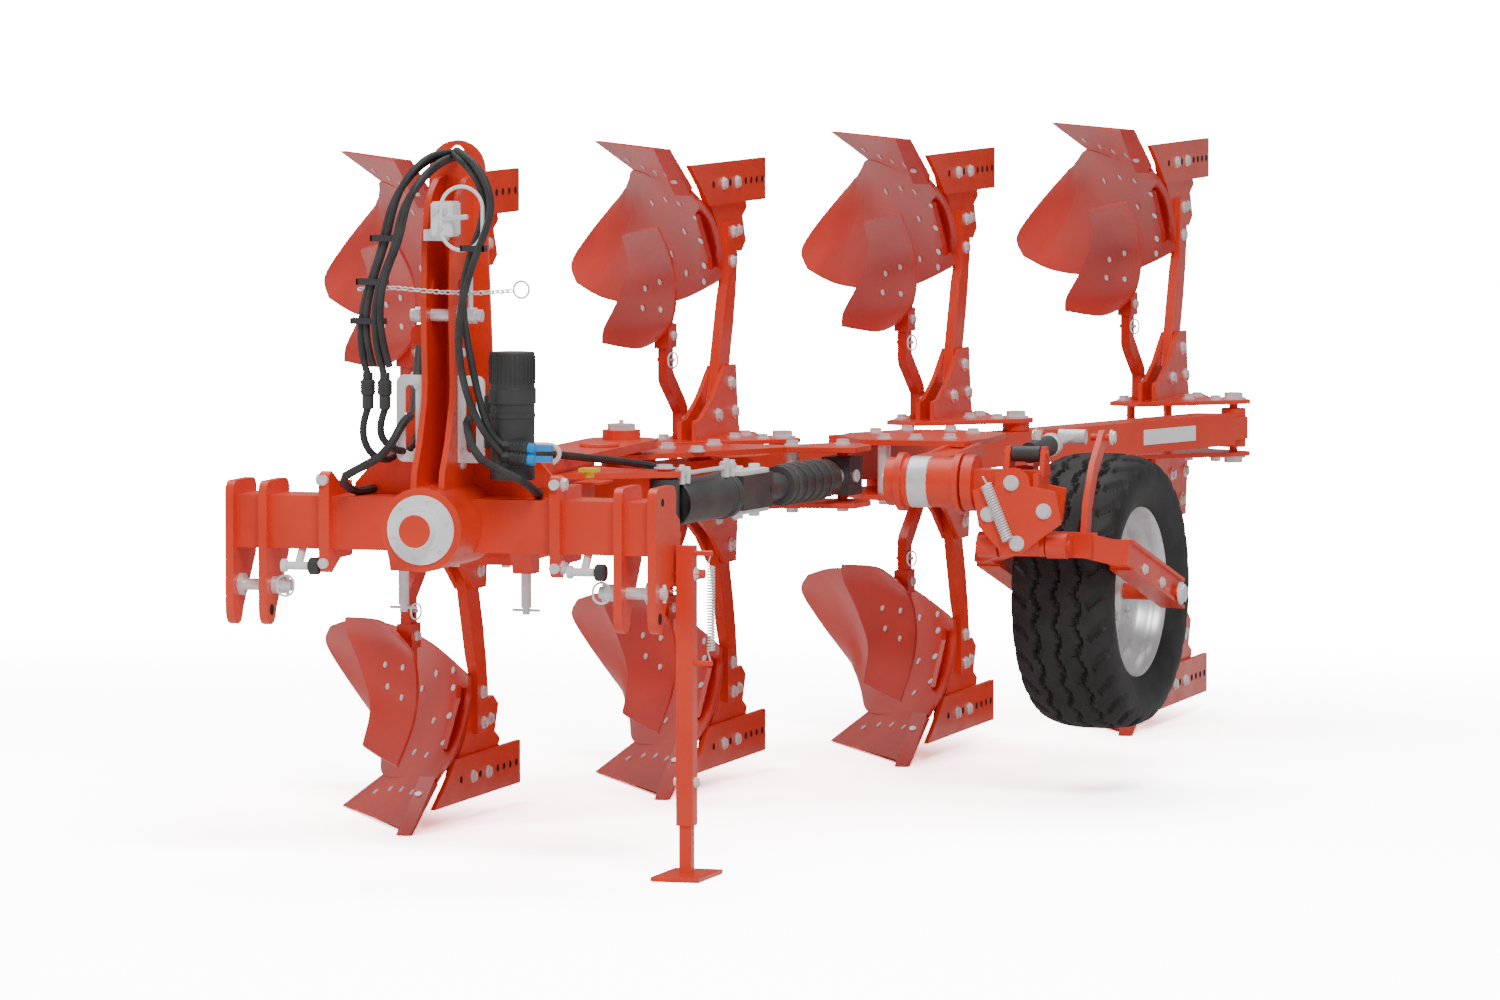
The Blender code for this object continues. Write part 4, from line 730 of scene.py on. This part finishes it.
# ---- hydraulic couplers ----------------------------------------------------
# Turned quick couplers in moulded black grips: two hang at the right of the
# machine, two stand at the left with blue marker handles.
blue, tree, shader = principled("blue_marker", (0.0, 0.30, 0.78), 0.38)
coords, _ = noise_bump(tree, shader, 300.0, 0.06, 0.0004)
mottle(tree, shader, coords, 25.0, (0.0, 0.27, 0.72), (0.0, 0.33, 0.84), "Base Color")
yellow, tree, shader = principled("yellow_cap", (0.80, 0.62, 0.02), 0.45)
coords, _ = noise_bump(tree, shader, 300.0, 0.06, 0.0004)
mottle(tree, shader, coords, 25.0, (0.74, 0.56, 0.02), (0.84, 0.66, 0.03), "Base Color")
for number, (x, y) in enumerate(((-0.160, 0.146), (-0.118, 0.143))):
    bm = bmesh.new()
    add_rod(bm, (x, y, 0.352), (x, y, 0.334), 0.0125, 6, chamfer=0.001)
    add_rod(bm, (x, y, 0.335), (x, y, 0.300), 0.0165, 24, chamfer=0.002)
    for ring in range(4):
        z = 0.330 - ring * 0.007
        add_rod(bm, (x, y, z), (x, y, z - 0.0035), 0.0178, 24, chamfer=0.0006)
    add_rod(bm, (x, y, 0.301), (x, y, 0.268), 0.0135, 20, chamfer=0.002)
    mesh_piece("coupler_right_%d" % (number + 1), bm, moulded, "headstock_body")
for number, (y, z) in enumerate(((0.146, 0.165), (0.150, 0.190))):
    bm = bmesh.new()
    x = 0.162
    add_rod(bm, (x, y, z), (x + 0.020, y + 0.002, z - 0.002), 0.0125, 6, chamfer=0.001)
    add_rod(bm, (x + 0.019, y + 0.002, z - 0.002), (x + 0.060, y + 0.004, z - 0.006), 0.0165, 24,
            chamfer=0.002)
    for ring in range(4):
        a = x + 0.024 + ring * 0.007
        add_rod(bm, (a, y + 0.002, z - 0.003), (a + 0.0035, y + 0.002, z - 0.0035), 0.0178, 24,
                chamfer=0.0006)
    mesh_piece("coupler_left_%d" % (number + 1), bm, moulded, "headstock_body")
    bm = bmesh.new()
    add_rod(bm, (x + 0.059, y + 0.004, z - 0.006), (x + 0.078, y + 0.005, z - 0.008), 0.0135, 20,
            chamfer=0.002)
    add_box(bm, (x + 0.070, y - 0.004, z - 0.012), (x + 0.118, y + 0.012, z + 0.002))
    mesh_piece("marker_handle_%d" % (number + 1), bm, blue, "headstock_body")

# ---- valve block and lifting eye on the mast -------------------------------
# A small white valve box bolted to the front of the mast, inside an oval
# wire handle, with the safety chain of the top link pin below it.


def loop_wire(bm, centre, across, tall, wire, sides=10, steps=48, tilt=0.0):
    """Oval ring of round wire, standing in a plane that faces the front."""
    rows = []
    for i in range(steps):
        a = 2 * math.pi * i / steps
        flat = tall / 2 - across / 2
        mid = Vector((across / 2 * math.cos(a), 0, across / 2 * math.sin(a)
                      + (flat if math.sin(a) >= 0 else -flat)))
        out = Vector((math.cos(a), 0, math.sin(a)))
        turn = Matrix.Rotation(tilt, 3, "Z")
        rows.append([bm.verts.new(Vector(centre) + turn @ (mid + out * wire * math.cos(b)
                                                           + Vector((0, wire * math.sin(b), 0))))
                     for b in (2 * math.pi * j / sides for j in range(sides))])
    for i in range(steps):
        low, high = rows[i], rows[(i + 1) % steps]
        for j in range(sides):
            bm.faces.new((low[j], low[(j + 1) % sides], high[(j + 1) % sides], high[j]))


bm = bmesh.new()
loop_wire(bm, (0.076, 0.118, 0.708), 0.100, 0.145, 0.0045)
mesh_piece("oval_handle", bm, white, "headstock_body")
bm = bmesh.new()
add_box(bm, (0.000, 0.120, 0.665), (0.052, 0.186, 0.745))
bmesh.ops.bevel(bm, geom=bm.edges[:], offset=0.004, segments=2, affect="EDGES")
add_box(bm, (-0.026, 0.150, 0.655), (0.026, 0.215, 0.680))
mesh_piece("valve_box", bm, white, "headstock_body")
fasteners("valve_box_plugs", [((0.014, 0.120, 0.726), (0, -1, 0)), ((0.038, 0.120, 0.726), (0, -1, 0)),
                              ((0.026, 0.120, 0.684), (0, -1, 0))], 0.0075, 0.010, "headstock_body", 6)
bm = bmesh.new()
add_rod(bm, (0.026, 0.120, 0.705), (0.092, 0.112, 0.712), 0.006, 14, chamfer=0.001)
mesh_piece("valve_lever", bm, zinc, "headstock_body")

chain_route = [Vector(p) for p in ((-0.183, 0.150, 0.542), (-0.094, 0.148, 0.546), (0.014, 0.146, 0.538),
                                   (0.106, 0.146, 0.537), (0.187, 0.150, 0.543))]
bm = bmesh.new()
links = 28
for i in range(links):
    f = (i + 0.5) / links * (len(chain_route) - 1)
    a, b = chain_route[int(f)], chain_route[min(int(f) + 1, len(chain_route) - 1)]
    centre = a.lerp(b, f - int(f))
    rows = []
    for s in range(16):
        ang = 2 * math.pi * s / 16
        mid = Vector((0.0085 * math.cos(ang), 0, 0.0050 * math.sin(ang)))
        out = Vector((math.cos(ang), 0, math.sin(ang)))
        spin = Matrix.Rotation(math.radians(35 if i % 2 else -55), 3, "X")
        rows.append([bm.verts.new(centre + spin @ (mid + out * 0.0017 * math.cos(c)
                                                   + Vector((0, 0.0017 * math.sin(c), 0))))
                     for c in (2 * math.pi * j / 6 for j in range(6))])
    for s in range(16):
        low, high = rows[s], rows[(s + 1) % 16]
        for j in range(6):
            bm.faces.new((low[j], low[(j + 1) % 6], high[(j + 1) % 6], high[j]))
loop_wire(bm, (0.208, 0.150, 0.546), 0.036, 0.038, 0.0026)
mesh_piece("safety_chain", bm, zinc, "headstock_body", 60)

# ---- link pin linchpins and rubber stops -----------------------------------
# Spring-ring linchpins at the inner end of each link pin, and dark rubber
# stops on short arms under the cross beam.
pin_y, pin_z = 0.221, -0.148
for side, word in ((-1, "right"), (1, "left")):
    bm = bmesh.new()
    end = side * (0.418 - 0.036)
    add_rod(bm, (end, pin_y, pin_z - 0.024), (end, pin_y, pin_z + 0.024), 0.0045, 12, chamfer=0.001)
    loop_wire(bm, (end, pin_y - 0.018, pin_z), 0.040, 0.048, 0.0028, tilt=math.radians(12))
    far = side * 0.526
    add_rod(bm, (far, pin_y, pin_z - 0.021), (far, pin_y, pin_z + 0.021), 0.0045, 12, chamfer=0.001)
    mesh_piece("linchpin_" + word, bm, white, "headstock_body")
    bm = bmesh.new()
    hook = side * 0.345
    add_rod(bm, (hook - 0.028, 0.190, -0.100), (hook + 0.028, 0.190, -0.100), 0.010, 20, chamfer=0.001)
    add_rod(bm, (hook - 0.040, 0.190, -0.100), (hook - 0.028, 0.190, -0.100), 0.0155, 24, chamfer=0.001)
    add_rod(bm, (hook, 0.190, -0.100), (hook, 0.224, -0.058), 0.010, 16)
    mesh_piece("hose_hook_" + word, bm, white, "headstock_body")
    bm = bmesh.new()
    add_rod(bm, (hook + 0.027, 0.190, -0.100), (hook + 0.052, 0.190, -0.100), 0.020, 28, chamfer=0.003)
    mesh_piece("rubber_stop_" + word, bm, moulded, "headstock_body")

# ---- canister lid ribs and strap -------------------------------------------
# The moulded document canister has a ribbed screw lid and a strap round it.
can_x, can_y = 0.171, 0.196
bm = bmesh.new()
for i in range(28):
    a = 2 * math.pi * i / 28
    spot = Vector((can_x + 0.0520 * math.cos(a), can_y + 0.0520 * math.sin(a), 0.0))
    add_rod(bm, spot + Vector((0, 0, 0.330)), spot + Vector((0, 0, 0.392)), 0.0022, 6)
mesh_piece("canister_lid_ribs", bm, moulded, "headstock_body")
bm = bmesh.new()
for low, high in ((0.140, 0.152), (0.250, 0.262)):
    add_rod(bm, (can_x, can_y, low), (can_x, can_y, high), 0.0532, 48, chamfer=0.001)
mesh_piece("canister_straps", bm, moulded, "headstock_body")

# ---- parking stand spring --------------------------------------------------
# A plated tension spring holds the stand folded or down; its hooks catch on
# cross pins in the leg.


def coil(name, start, end, radius, wire, rounds, finish, body):
    """Close-wound spring with a straight hook at each end."""
    start, end = Vector(start), Vector(end)
    turn = (end - start).to_track_quat("Z", "Y").to_matrix()
    run = (end - start).normalized()
    length = (end - start).length
    body_len = length * 0.78
    steps = rounds * 12
    path = [start]
    for i in range(steps + 1):
        a = 2 * math.pi * i / 12
        path.append(start + run * (length * 0.11 + body_len * i / steps)
                    + turn @ Vector((radius * math.cos(a), radius * math.sin(a), 0)))
    path.append(end)
    bm = bmesh.new()
    rows = []
    side = run.orthogonal()
    for i, p in enumerate(path):
        way = (path[min(i + 1, len(path) - 1)] - path[max(i - 1, 0)]).normalized()
        side = (side - way * side.dot(way)).normalized()
        up = way.cross(side)
        rows.append([bm.verts.new(p + (side * math.cos(b) + up * math.sin(b)) * wire)
                     for b in (2 * math.pi * j / 6 for j in range(6))])
    for low, high in zip(rows, rows[1:]):
        for j in range(6):
            bm.faces.new((low[j], low[(j + 1) % 6], high[(j + 1) % 6], high[j]))
    bm.faces.new(rows[0])
    bm.faces.new(rows[-1])
    mesh_piece(name, bm, finish, body, 60)


coil("stand_spring", (0.603, 0.336, -0.064), (0.603, 0.336, -0.313), 0.0085, 0.0019, 30, zinc,
     "stand_body")
stack("stand_pivot_nut", [((0.566, 0.336, -0.110), (1, 0, 0))], 0.013, 0.012, "stand_body")
stack("stand_lock_bolt", [((0.565, 0.336, -0.590), (1, 0, 0)), ((0.525, 0.336, -0.590), (-1, 0, 0))],
      0.010, 0.010, "stand_body")

# ---- mast fasteners --------------------------------------------------------
# Bolts through both cheeks near the pins, and the spare pin hole's bush.
for side, word in ((-1, "right"), (1, "left")):
    out = (side, 0, 0)
    stack("mast_bolts_" + word, [((side * 0.0407, 0.225, z), out) for z in (0.395, 0.140)], 0.010,
          0.008, "headstock_body")
    fasteners("mast_pin_bush_" + word, [((side * 0.0407, 0.211, 0.482), out)], 0.025, 0.006,
              "headstock_body", 28)
    stack("hose_plate_bolts_" + word, [((side * 0.056, 0.191, z), (0, -1, 0)) for z in (0.170, 0.320)],
          0.007, 0.006, "headstock_body")

# ---- turning arm top -------------------------------------------------------
# The box arm carries a white hose guide and a low boss, with the big nut of
# the frame's upright pivot at its rear end.
pivot = Vector((0.0, 1.606))
for side in (1, -1):
    row = "top" if side > 0 else "under"
    bm = bmesh.new()
    add_rod(bm, (0.030, 1.326, side * 0.1095), (0.030, 1.326, side * 0.1185), 0.048, 40, chamfer=0.002)
    add_rod(bm, (0.0, 0.996, side * 0.1095), (0.0, 0.996, side * 0.1160), 0.034, 32, chamfer=0.002)
    mesh_piece("arm_bosses_" + row, bm, coat, "turning_frame")
    fasteners("pivot_nut_" + row, [((pivot.x, pivot.y, side * 0.1325), (0, 0, side))], 0.036, 0.016,
              "turning_frame", 6)
    fasteners("pivot_grease_" + row, [((pivot.x, pivot.y, side * 0.1480), (0, 0, side))], 0.006, 0.010,
              "turning_frame", 12)
    stack("strut_pin_nut_" + row, [((0.300, 0.976, side * 0.085), (0, 0, side))], 0.020, 0.010,
          "turning_frame")
    stack("arm_flange_bolts_" + row,
          [((x, 0.486, side * 0.110), (0, 0, side)) for x in (-0.062, 0.062)], 0.011, 0.009, "turning_frame")
tube("hose_guide", [(0.020, 0.760, 0.110), (0.020, 0.762, 0.150), (0.060, 0.764, 0.152),
                    (0.105, 0.766, 0.152), (0.108, 0.768, 0.120), (0.088, 0.770, 0.107)], 0.0055, white,
     "turning_frame")

# ---- swing and width cylinders ---------------------------------------------
# Turned glands and ribs on the cast grey barrels, with the hydraulic unions
# on top of the big one and a hexagon lock nut between the two.
strut_front, strut_rear = Vector((0.300, 0.976, 0.0)), Vector((0.440, 2.046, 0.0))
strut_run = (strut_rear - strut_front).normalized()


def along_strut(distance, x=0.0, z=0.0):
    side = Vector((strut_run.y, -strut_run.x, 0.0))
    return strut_front + strut_run * distance + side * x + Vector((0, 0, z))


bm = bmesh.new()
for low, high, size in ((0.030, 0.046, 0.0575), (0.318, 0.345, 0.0580), (0.300, 0.306, 0.0565)):
    add_rod(bm, along_strut(low), along_strut(high), size, 48, chamfer=0.0025)
mesh_piece("swing_cylinder_rings", bm, dark, "swing_cylinder_body")
bm = bmesh.new()
for place, tall in ((0.030, 0.086), (0.062, 0.080), (0.290, 0.085), (0.325, 0.080)):
    add_rod(bm, along_strut(place, 0.028, 0.046), along_strut(place, 0.028, tall), 0.0105, 6, chamfer=0.001)
    add_rod(bm, along_strut(place - 0.016, 0.028, tall - 0.008),
            along_strut(place + 0.018, 0.028, tall - 0.008),
            0.0085, 20, chamfer=0.001)
    add_rod(bm, along_strut(place + 0.008, 0.028, tall - 0.020),
            along_strut(place + 0.008, 0.028, tall + 0.006),
            0.0075, 6, chamfer=0.001)
add_rod(bm, along_strut(0.062, 0.028, 0.070), along_strut(0.290, 0.028, 0.070), 0.0055, 16)
mesh_piece("swing_cylinder_unions", bm, zinc, "swing_cylinder_body")
bm = bmesh.new()
for i in range(5):
    spot = 0.700 + 0.050 * i
    add_rod(bm, along_strut(spot), along_strut(spot + 0.018), 0.0515, 40, chamfer=0.003)
add_rod(bm, along_strut(0.948), along_strut(0.968), 0.044, 6, chamfer=0.002)
mesh_piece("width_cylinder_ribs", bm, dark, "width_cylinder_body")
bm = bmesh.new()
for z in (-1, 1):
    low, high = sorted((z * 0.042, z * 0.052))
    ring = [along_strut(a, b) for a, b in ((0.400, -0.026), (0.560, -0.026), (0.585, 0.0), (0.560, 0.026),
                                           (0.400, 0.026))]
    add_loft(bm, [(p.x, p.y, low) for p in ring], [(p.x, p.y, high) for p in ring])
for place in (0.430, 0.530):
    add_rod(bm, along_strut(place, 0, -0.064), along_strut(place, 0, 0.064), 0.014, 24, chamfer=0.002)
mesh_piece("strut_clevis_plates", bm, white, "width_cylinder_body")
bm = bmesh.new()
add_rod(bm, along_strut(0.966), along_strut(1.036), 0.0228, 32)
mesh_piece("width_rod_chrome", bm, zinc, "width_cylinder_body")
bm = bmesh.new()
add_rod(bm, along_strut(1.072, 0.034, 0.0), along_strut(1.072, 0.044, 0.0), 0.016, 28, chamfer=0.002)
mesh_piece("rear_block_cap", bm, zinc, "width_cylinder_body")
bm = bmesh.new()
add_box(bm, (0.172, 0.700, 0.092), (0.214, 0.738, 0.101))
add_rod(bm, (0.193, 0.719, 0.079), (0.193, 0.719, 0.098), 0.012, 20)
mesh_piece("union_cap", bm, yellow, "turning_frame")
bm = bmesh.new()
add_box(bm, (0.150, 0.735, 0.0600), (0.215, 0.840, 0.0655))
mesh_piece("union_shelf", bm, coat, "turning_frame")

# ---- frame plates and wheel support ----------------------------------------
# Laser cut plates over and under the beam, pulled together by through bolts
# with bright spacer tubes where nothing else stands between them.
for side in (1, -1):
    row = "top" if side > 0 else "under"
    up = (0, 0, side)
    top = side * 0.076
    stack("frame_bolts_" + row,
          [((x, y, top), up) for x, y in ((0.165, 1.700), (0.330, 1.975), (0.135, 1.950), (0.060, 1.800),
                                          (0.440, 2.046))], 0.016, 0.015, "main_frame")
    stack("support_bolts_" + row,
          [((x, y, top), up) for x, y in ((0.480, 2.290), (0.560, 2.300), (0.560, 2.640), (0.640, 2.330),
                                          (0.400, 2.500), (0.450, 2.620), (0.640, 2.560))], 0.015, 0.014,
          "main_frame")
bm = bmesh.new()
for x, y in ((0.480, 2.290), (0.560, 2.640)):
    add_rod(bm, (x, y, -0.0615), (x, y, 0.0615), 0.0165, 28)
add_rod(bm, (0.330, 1.975, -0.0615), (0.330, 1.975, 0.0615), 0.0185, 28)
mesh_piece("spacer_tubes", bm, zinc, "main_frame")

# ---- blank plate on the beam -----------------------------------------------
# A thin white enamelled plate, left blank, riveted to the beam's outer side.
slope = FURROW / BODY_PITCH
beam_run = Vector((slope, 1.0, 0.0)).normalized()
beam_out = Vector((beam_run.y, -beam_run.x, 0.0))


def on_beam(y, lift, z):
    x = FIRST_TIP.x + (y - FIRST_TIP.y) * slope + 0.110
    return Vector((x, y, z)) + beam_out * (0.050 + lift)


bm = bmesh.new()
plate_low, plate_high = 3.665, 3.890
corners = [on_beam(plate_low, 0.0, -0.020), on_beam(plate_high, 0.0, -0.020),
           on_beam(plate_high, 0.0, 0.020), on_beam(plate_low, 0.0, 0.020)]
add_loft(bm, [c + beam_out * 0.0002 for c in corners], [c + beam_out * 0.0022 for c in corners])
mesh_piece("blank_plate", bm, white, "main_frame")

# ---- land wheel tyre -------------------------------------------------------
# Implement tyre in black rubber: three zigzag grooves round the tread, and
# slanted shoulder blocks that run down on to the plain sidewalls.
wheel_centre = Vector((1.020, 2.376, -0.300))
toe = Matrix.Rotation(math.radians(-5.5), 3, "Z")
tyre_radius, tyre_width, bead = 0.345, 0.265, 0.208
tyre_rubber, tree, shader = principled("tyre_rubber", (0.016, 0.016, 0.017), 0.62)
coords, _ = noise_bump(tree, shader, 160.0, 0.22, 0.0008)
mottle(tree, shader, coords, 18.0, (0.012,) * 3, (0.024,) * 3, "Base Color")


def tyre_profile():
    """(radius, across, is tread) from bead to bead over the outside."""
    half = tyre_width / 2
    side = [(bead, -0.70), (bead + 0.006, -0.78), (bead + 0.020, -0.86), (bead + 0.048, -0.955),
            (bead + 0.075, -0.995), (bead + 0.092, -0.985), (bead + 0.108, -0.945)]
    spots = [(r, half * a, 0) for r, a in side]
    tread_half = 0.88
    count = 34
    for i in range(count + 1):
        a = -tread_half + 2 * tread_half * i / count
        crown = tyre_radius - 0.020 * abs(a / tread_half) ** 3.2
        spots.append((crown, half * a, 1))
    spots += [(r, -half * a, 0) for r, a in reversed(side)]
    return spots


def groove_depth(across, angle):
    """How far the tread is cut at this place: zigzag grooves and shoulder slots."""
    wave = 0.0085 * math.asin(math.sin(angle * 26)) / (math.pi / 2)
    depth = 0.0
    for centre in (-0.054, 0.0, 0.054):
        gap = abs(across - centre - wave)
        if gap < 0.0052:
            depth = 0.0095
    edge = abs(across)
    if edge > 0.082:
        slot = (angle * 26 / (2 * math.pi) + (edge - 0.082) * 13) % 1.0
        if slot < 0.30:
            depth = max(depth, 0.0080)
    return depth


bm = bmesh.new()
profile = tyre_profile()
around = 340
rings = []
for i in range(around):
    a = 2 * math.pi * i / around
    row = []
    for r, across, is_tread in profile:
        cut = groove_depth(across, a) if is_tread else 0.0
        if not is_tread and r > bead + 0.090:
            cut = 0.004 if groove_depth(math.copysign(0.112, across), a) else 0.0
        row.append(bm.verts.new(wheel_centre + toe @ Vector((across, (r - cut) * math.cos(a),
                                                             (r - cut) * math.sin(a)))))
    rings.append(row)
for i in range(around):
    low, high = rings[i], rings[(i + 1) % around]
    for j in range(len(profile)):
        k = (j + 1) % len(profile)
        bm.faces.new((low[j], low[k], high[k], high[j]))
tyre_piece = mesh_piece("tyre_tread", bm, tyre_rubber, "wheel_body", 38)
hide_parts("tyre")

# ---- wheel rim -------------------------------------------------------------
# Pressed steel rim, silver lacquered, with rolled bead seats, a dished disc
# with hand holes, five nuts and a turned hub cap.
silver, tree, shader = principled("silver_lacquer", (0.74, 0.745, 0.76), 0.30, 0.45)
coords, _ = noise_bump(tree, shader, 500.0, 0.06, 0.0003)
mottle(tree, shader, coords, 16.0, (0.68, 0.685, 0.70), (0.80, 0.805, 0.82), "Base Color")


def revolved(bm, profile, sides):
    rows = []
    for i in range(sides):
        a = 2 * math.pi * i / sides
        rows.append([bm.verts.new(wheel_centre + toe @ Vector((x, r * math.cos(a), r * math.sin(a))))
                     for r, x in profile])
    for i in range(sides):
        low, high = rows[i], rows[(i + 1) % sides]
        for j in range(len(profile)):
            k = (j + 1) % len(profile)
            bm.faces.new((low[j], low[k], high[k], high[j]))


bm = bmesh.new()
revolved(bm, [(0.2080, -0.096), (0.2140, -0.104), (0.2150, -0.100), (0.2076, -0.090), (0.2040, -0.070),
              (0.1880, -0.056), (0.1880, 0.040), (0.2040, 0.060), (0.2076, 0.088), (0.2150, 0.098),
              (0.2140, 0.102), (0.2060, 0.094), (0.2000, 0.072), (0.1975, 0.060), (0.1840, 0.045),
              (0.1825, 0.030), (0.1620, 0.028), (0.1350, 0.020), (0.1150, 0.028), (0.0950, 0.046),
              (0.0700, 0.050), (0.0560, 0.050), (0.0560, 0.043), (0.0930, 0.039), (0.1130, 0.021),
              (0.1350, 0.013), (0.1640, 0.021), (0.1835, 0.020), (0.1835, -0.056), (0.1990, -0.074),
              (0.2020, -0.090)], 120)
rim_piece = mesh_piece("rim_pressing", bm, silver, "wheel_body", 50)
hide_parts("wheel_rim")
bm = bmesh.new()
revolved(bm, [(0.0207, 0.062), (0.0330, 0.062), (0.0380, 0.056), (0.0560, 0.054), (0.0590, 0.050),
              (0.0560, 0.036), (0.0480, 0.030), (0.0480, -0.050), (0.0400, -0.060), (0.0207, -0.060)], 72)
mesh_piece("wheel_hub", bm, silver, "wheel_body", 50)
outward = toe @ Vector((1, 0, 0))
nuts = []
for i in range(5):
    a = 2 * math.pi * (i + 0.25) / 5
    nuts.append((wheel_centre + toe @ Vector((0.050, 0.076 * math.cos(a), 0.076 * math.sin(a))), outward))
fasteners("wheel_nuts", nuts, 0.0115, 0.014, "wheel_body", 6)
# the disc's hand holes are not cut: thin dark discs paint the shade seen through them
disc_spots = []
for i in range(8):
    a = 2 * math.pi * i / 8
    place = Vector((0.0185, 0.140 * math.cos(a), 0.140 * math.sin(a)))
    disc_spots.append((wheel_centre + toe @ place, outward))
hole_shade_discs("disc_hand_hole_shade", disc_spots, 0.013, "wheel_body")

# ---- wheel head and fork details -------------------------------------------
# The swinging head has a return spring, a lock plate and bolts; the yoke has
# stiffening lips, the axle's nuts and the lift cylinder's hose unions.
coil("head_spring", (0.868, 1.784, 0.022), (0.940, 1.780, -0.150), 0.0125, 0.0028, 22, zinc,
     "wheel_head_body")
stack("head_front_bolts", [((x, 1.791, z), (0, -1, 0)) for x, z in ((0.938, 0.008), (1.020, -0.060),
                                                                    (0.880, -0.070), (0.952, -0.140))],
      0.015, 0.012, "wheel_head_body")
stack("shaft_end_nut", [((0.606, 1.876, 0.0), (-1, 0, 0))], 0.026, 0.014, "wheel_head_body")
bm = bmesh.new()
add_rod(bm, (0.664, 1.876, 0.0), (0.716, 1.876, 0.0), 0.0635, 48, chamfer=0.003)
mesh_piece("cross_housing_band", bm, zinc, "main_frame")
for side, word in ((-1, "inner"), (1, "outer")):
    out = toe @ Vector((side, 0, 0))
    base = wheel_centre + toe @ Vector((side * (0.206 if side < 0 else 0.210), 0, 0))
    stack("axle_nut_" + word, [(base, out)], 0.022, 0.014, "wheel_fork_body")
    stack("yoke_bolts_" + word,
          [(wheel_centre + toe @ Vector((side * 0.2003, b, h)), out)
           for b, h in ((-0.120, 0.036), (-0.250, 0.078))], 0.011, 0.009, "wheel_fork_body")
    # lips along the top and bottom of the rear arms make the I section
    bm = bmesh.new()
    for level in (0.0285, -0.0385):
        ends = []
        for b in (-0.345, 0.045):
            fall = 0.152 * min(1.0, max(0.0, b / -0.422))
            ends.append(wheel_centre + toe @ Vector((side * 0.175, b, fall + level)))
        run = (ends[1] - ends[0]).normalized()
        across = toe @ Vector((0.031, 0, 0))
        up = run.cross(across).normalized() * 0.0045
        corners = (across + up, -across + up, -across - up, across - up)
        add_loft(bm, [ends[0] + c for c in corners], [ends[1] + c for c in corners])
    mesh_piece("yoke_lips_" + word, bm, coat, "wheel_fork_body")
lift_front, lift_rear = Vector((0.955, 1.880, 0.074)), Vector((1.003, 2.146, 0.100))
lift_run = (lift_rear - lift_front).normalized()
bm = bmesh.new()
add_rod(bm, lift_front + lift_run * 0.128, lift_front + lift_run * 0.1505, 0.0285, 32, chamfer=0.002)
mesh_piece("lift_gland", bm, zinc, "lift_cylinder_body")
bm = bmesh.new()
add_rod(bm, lift_front + lift_run * 0.060 + Vector((0, 0, 0.022)),
        lift_front + lift_run * 0.060 + Vector((0, 0, 0.048)), 0.009, 6, chamfer=0.001)
mesh_piece("lift_union", bm, zinc, "lift_cylinder_body")
stack("horn_pins_left", [((1.101, 2.146, 0.100), (1, 0, 0))], 0.015, 0.012, "wheel_fork_body")
stack("horn_pins_right", [((0.913, 2.146, 0.100), (-1, 0, 0))], 0.015, 0.012, "wheel_fork_body")

# ---- skimmer linchpins -----------------------------------------------------
# A spring-ring pin locks each skimmer at its depth.
for k in range(1, 5):
    tip = share_point(k)
    for row, side in (("upper", 1), ("lower", -1)):
        bm = bmesh.new()
        z = side * (AXIS_HEIGHT - 0.530)
        y = tip.y + 0.127
        add_rod(bm, (tip.x - 0.030, y, z), (tip.x + 0.016, y, z), 0.0045, 12, chamfer=0.001)
        loop_wire(bm, (tip.x + 0.016, y - 0.016, z), 0.032, 0.038, 0.0024, tilt=math.radians(60))
        mesh_piece("skimmer_pin_%s_%d" % (row, k), bm, zinc, "main_frame")
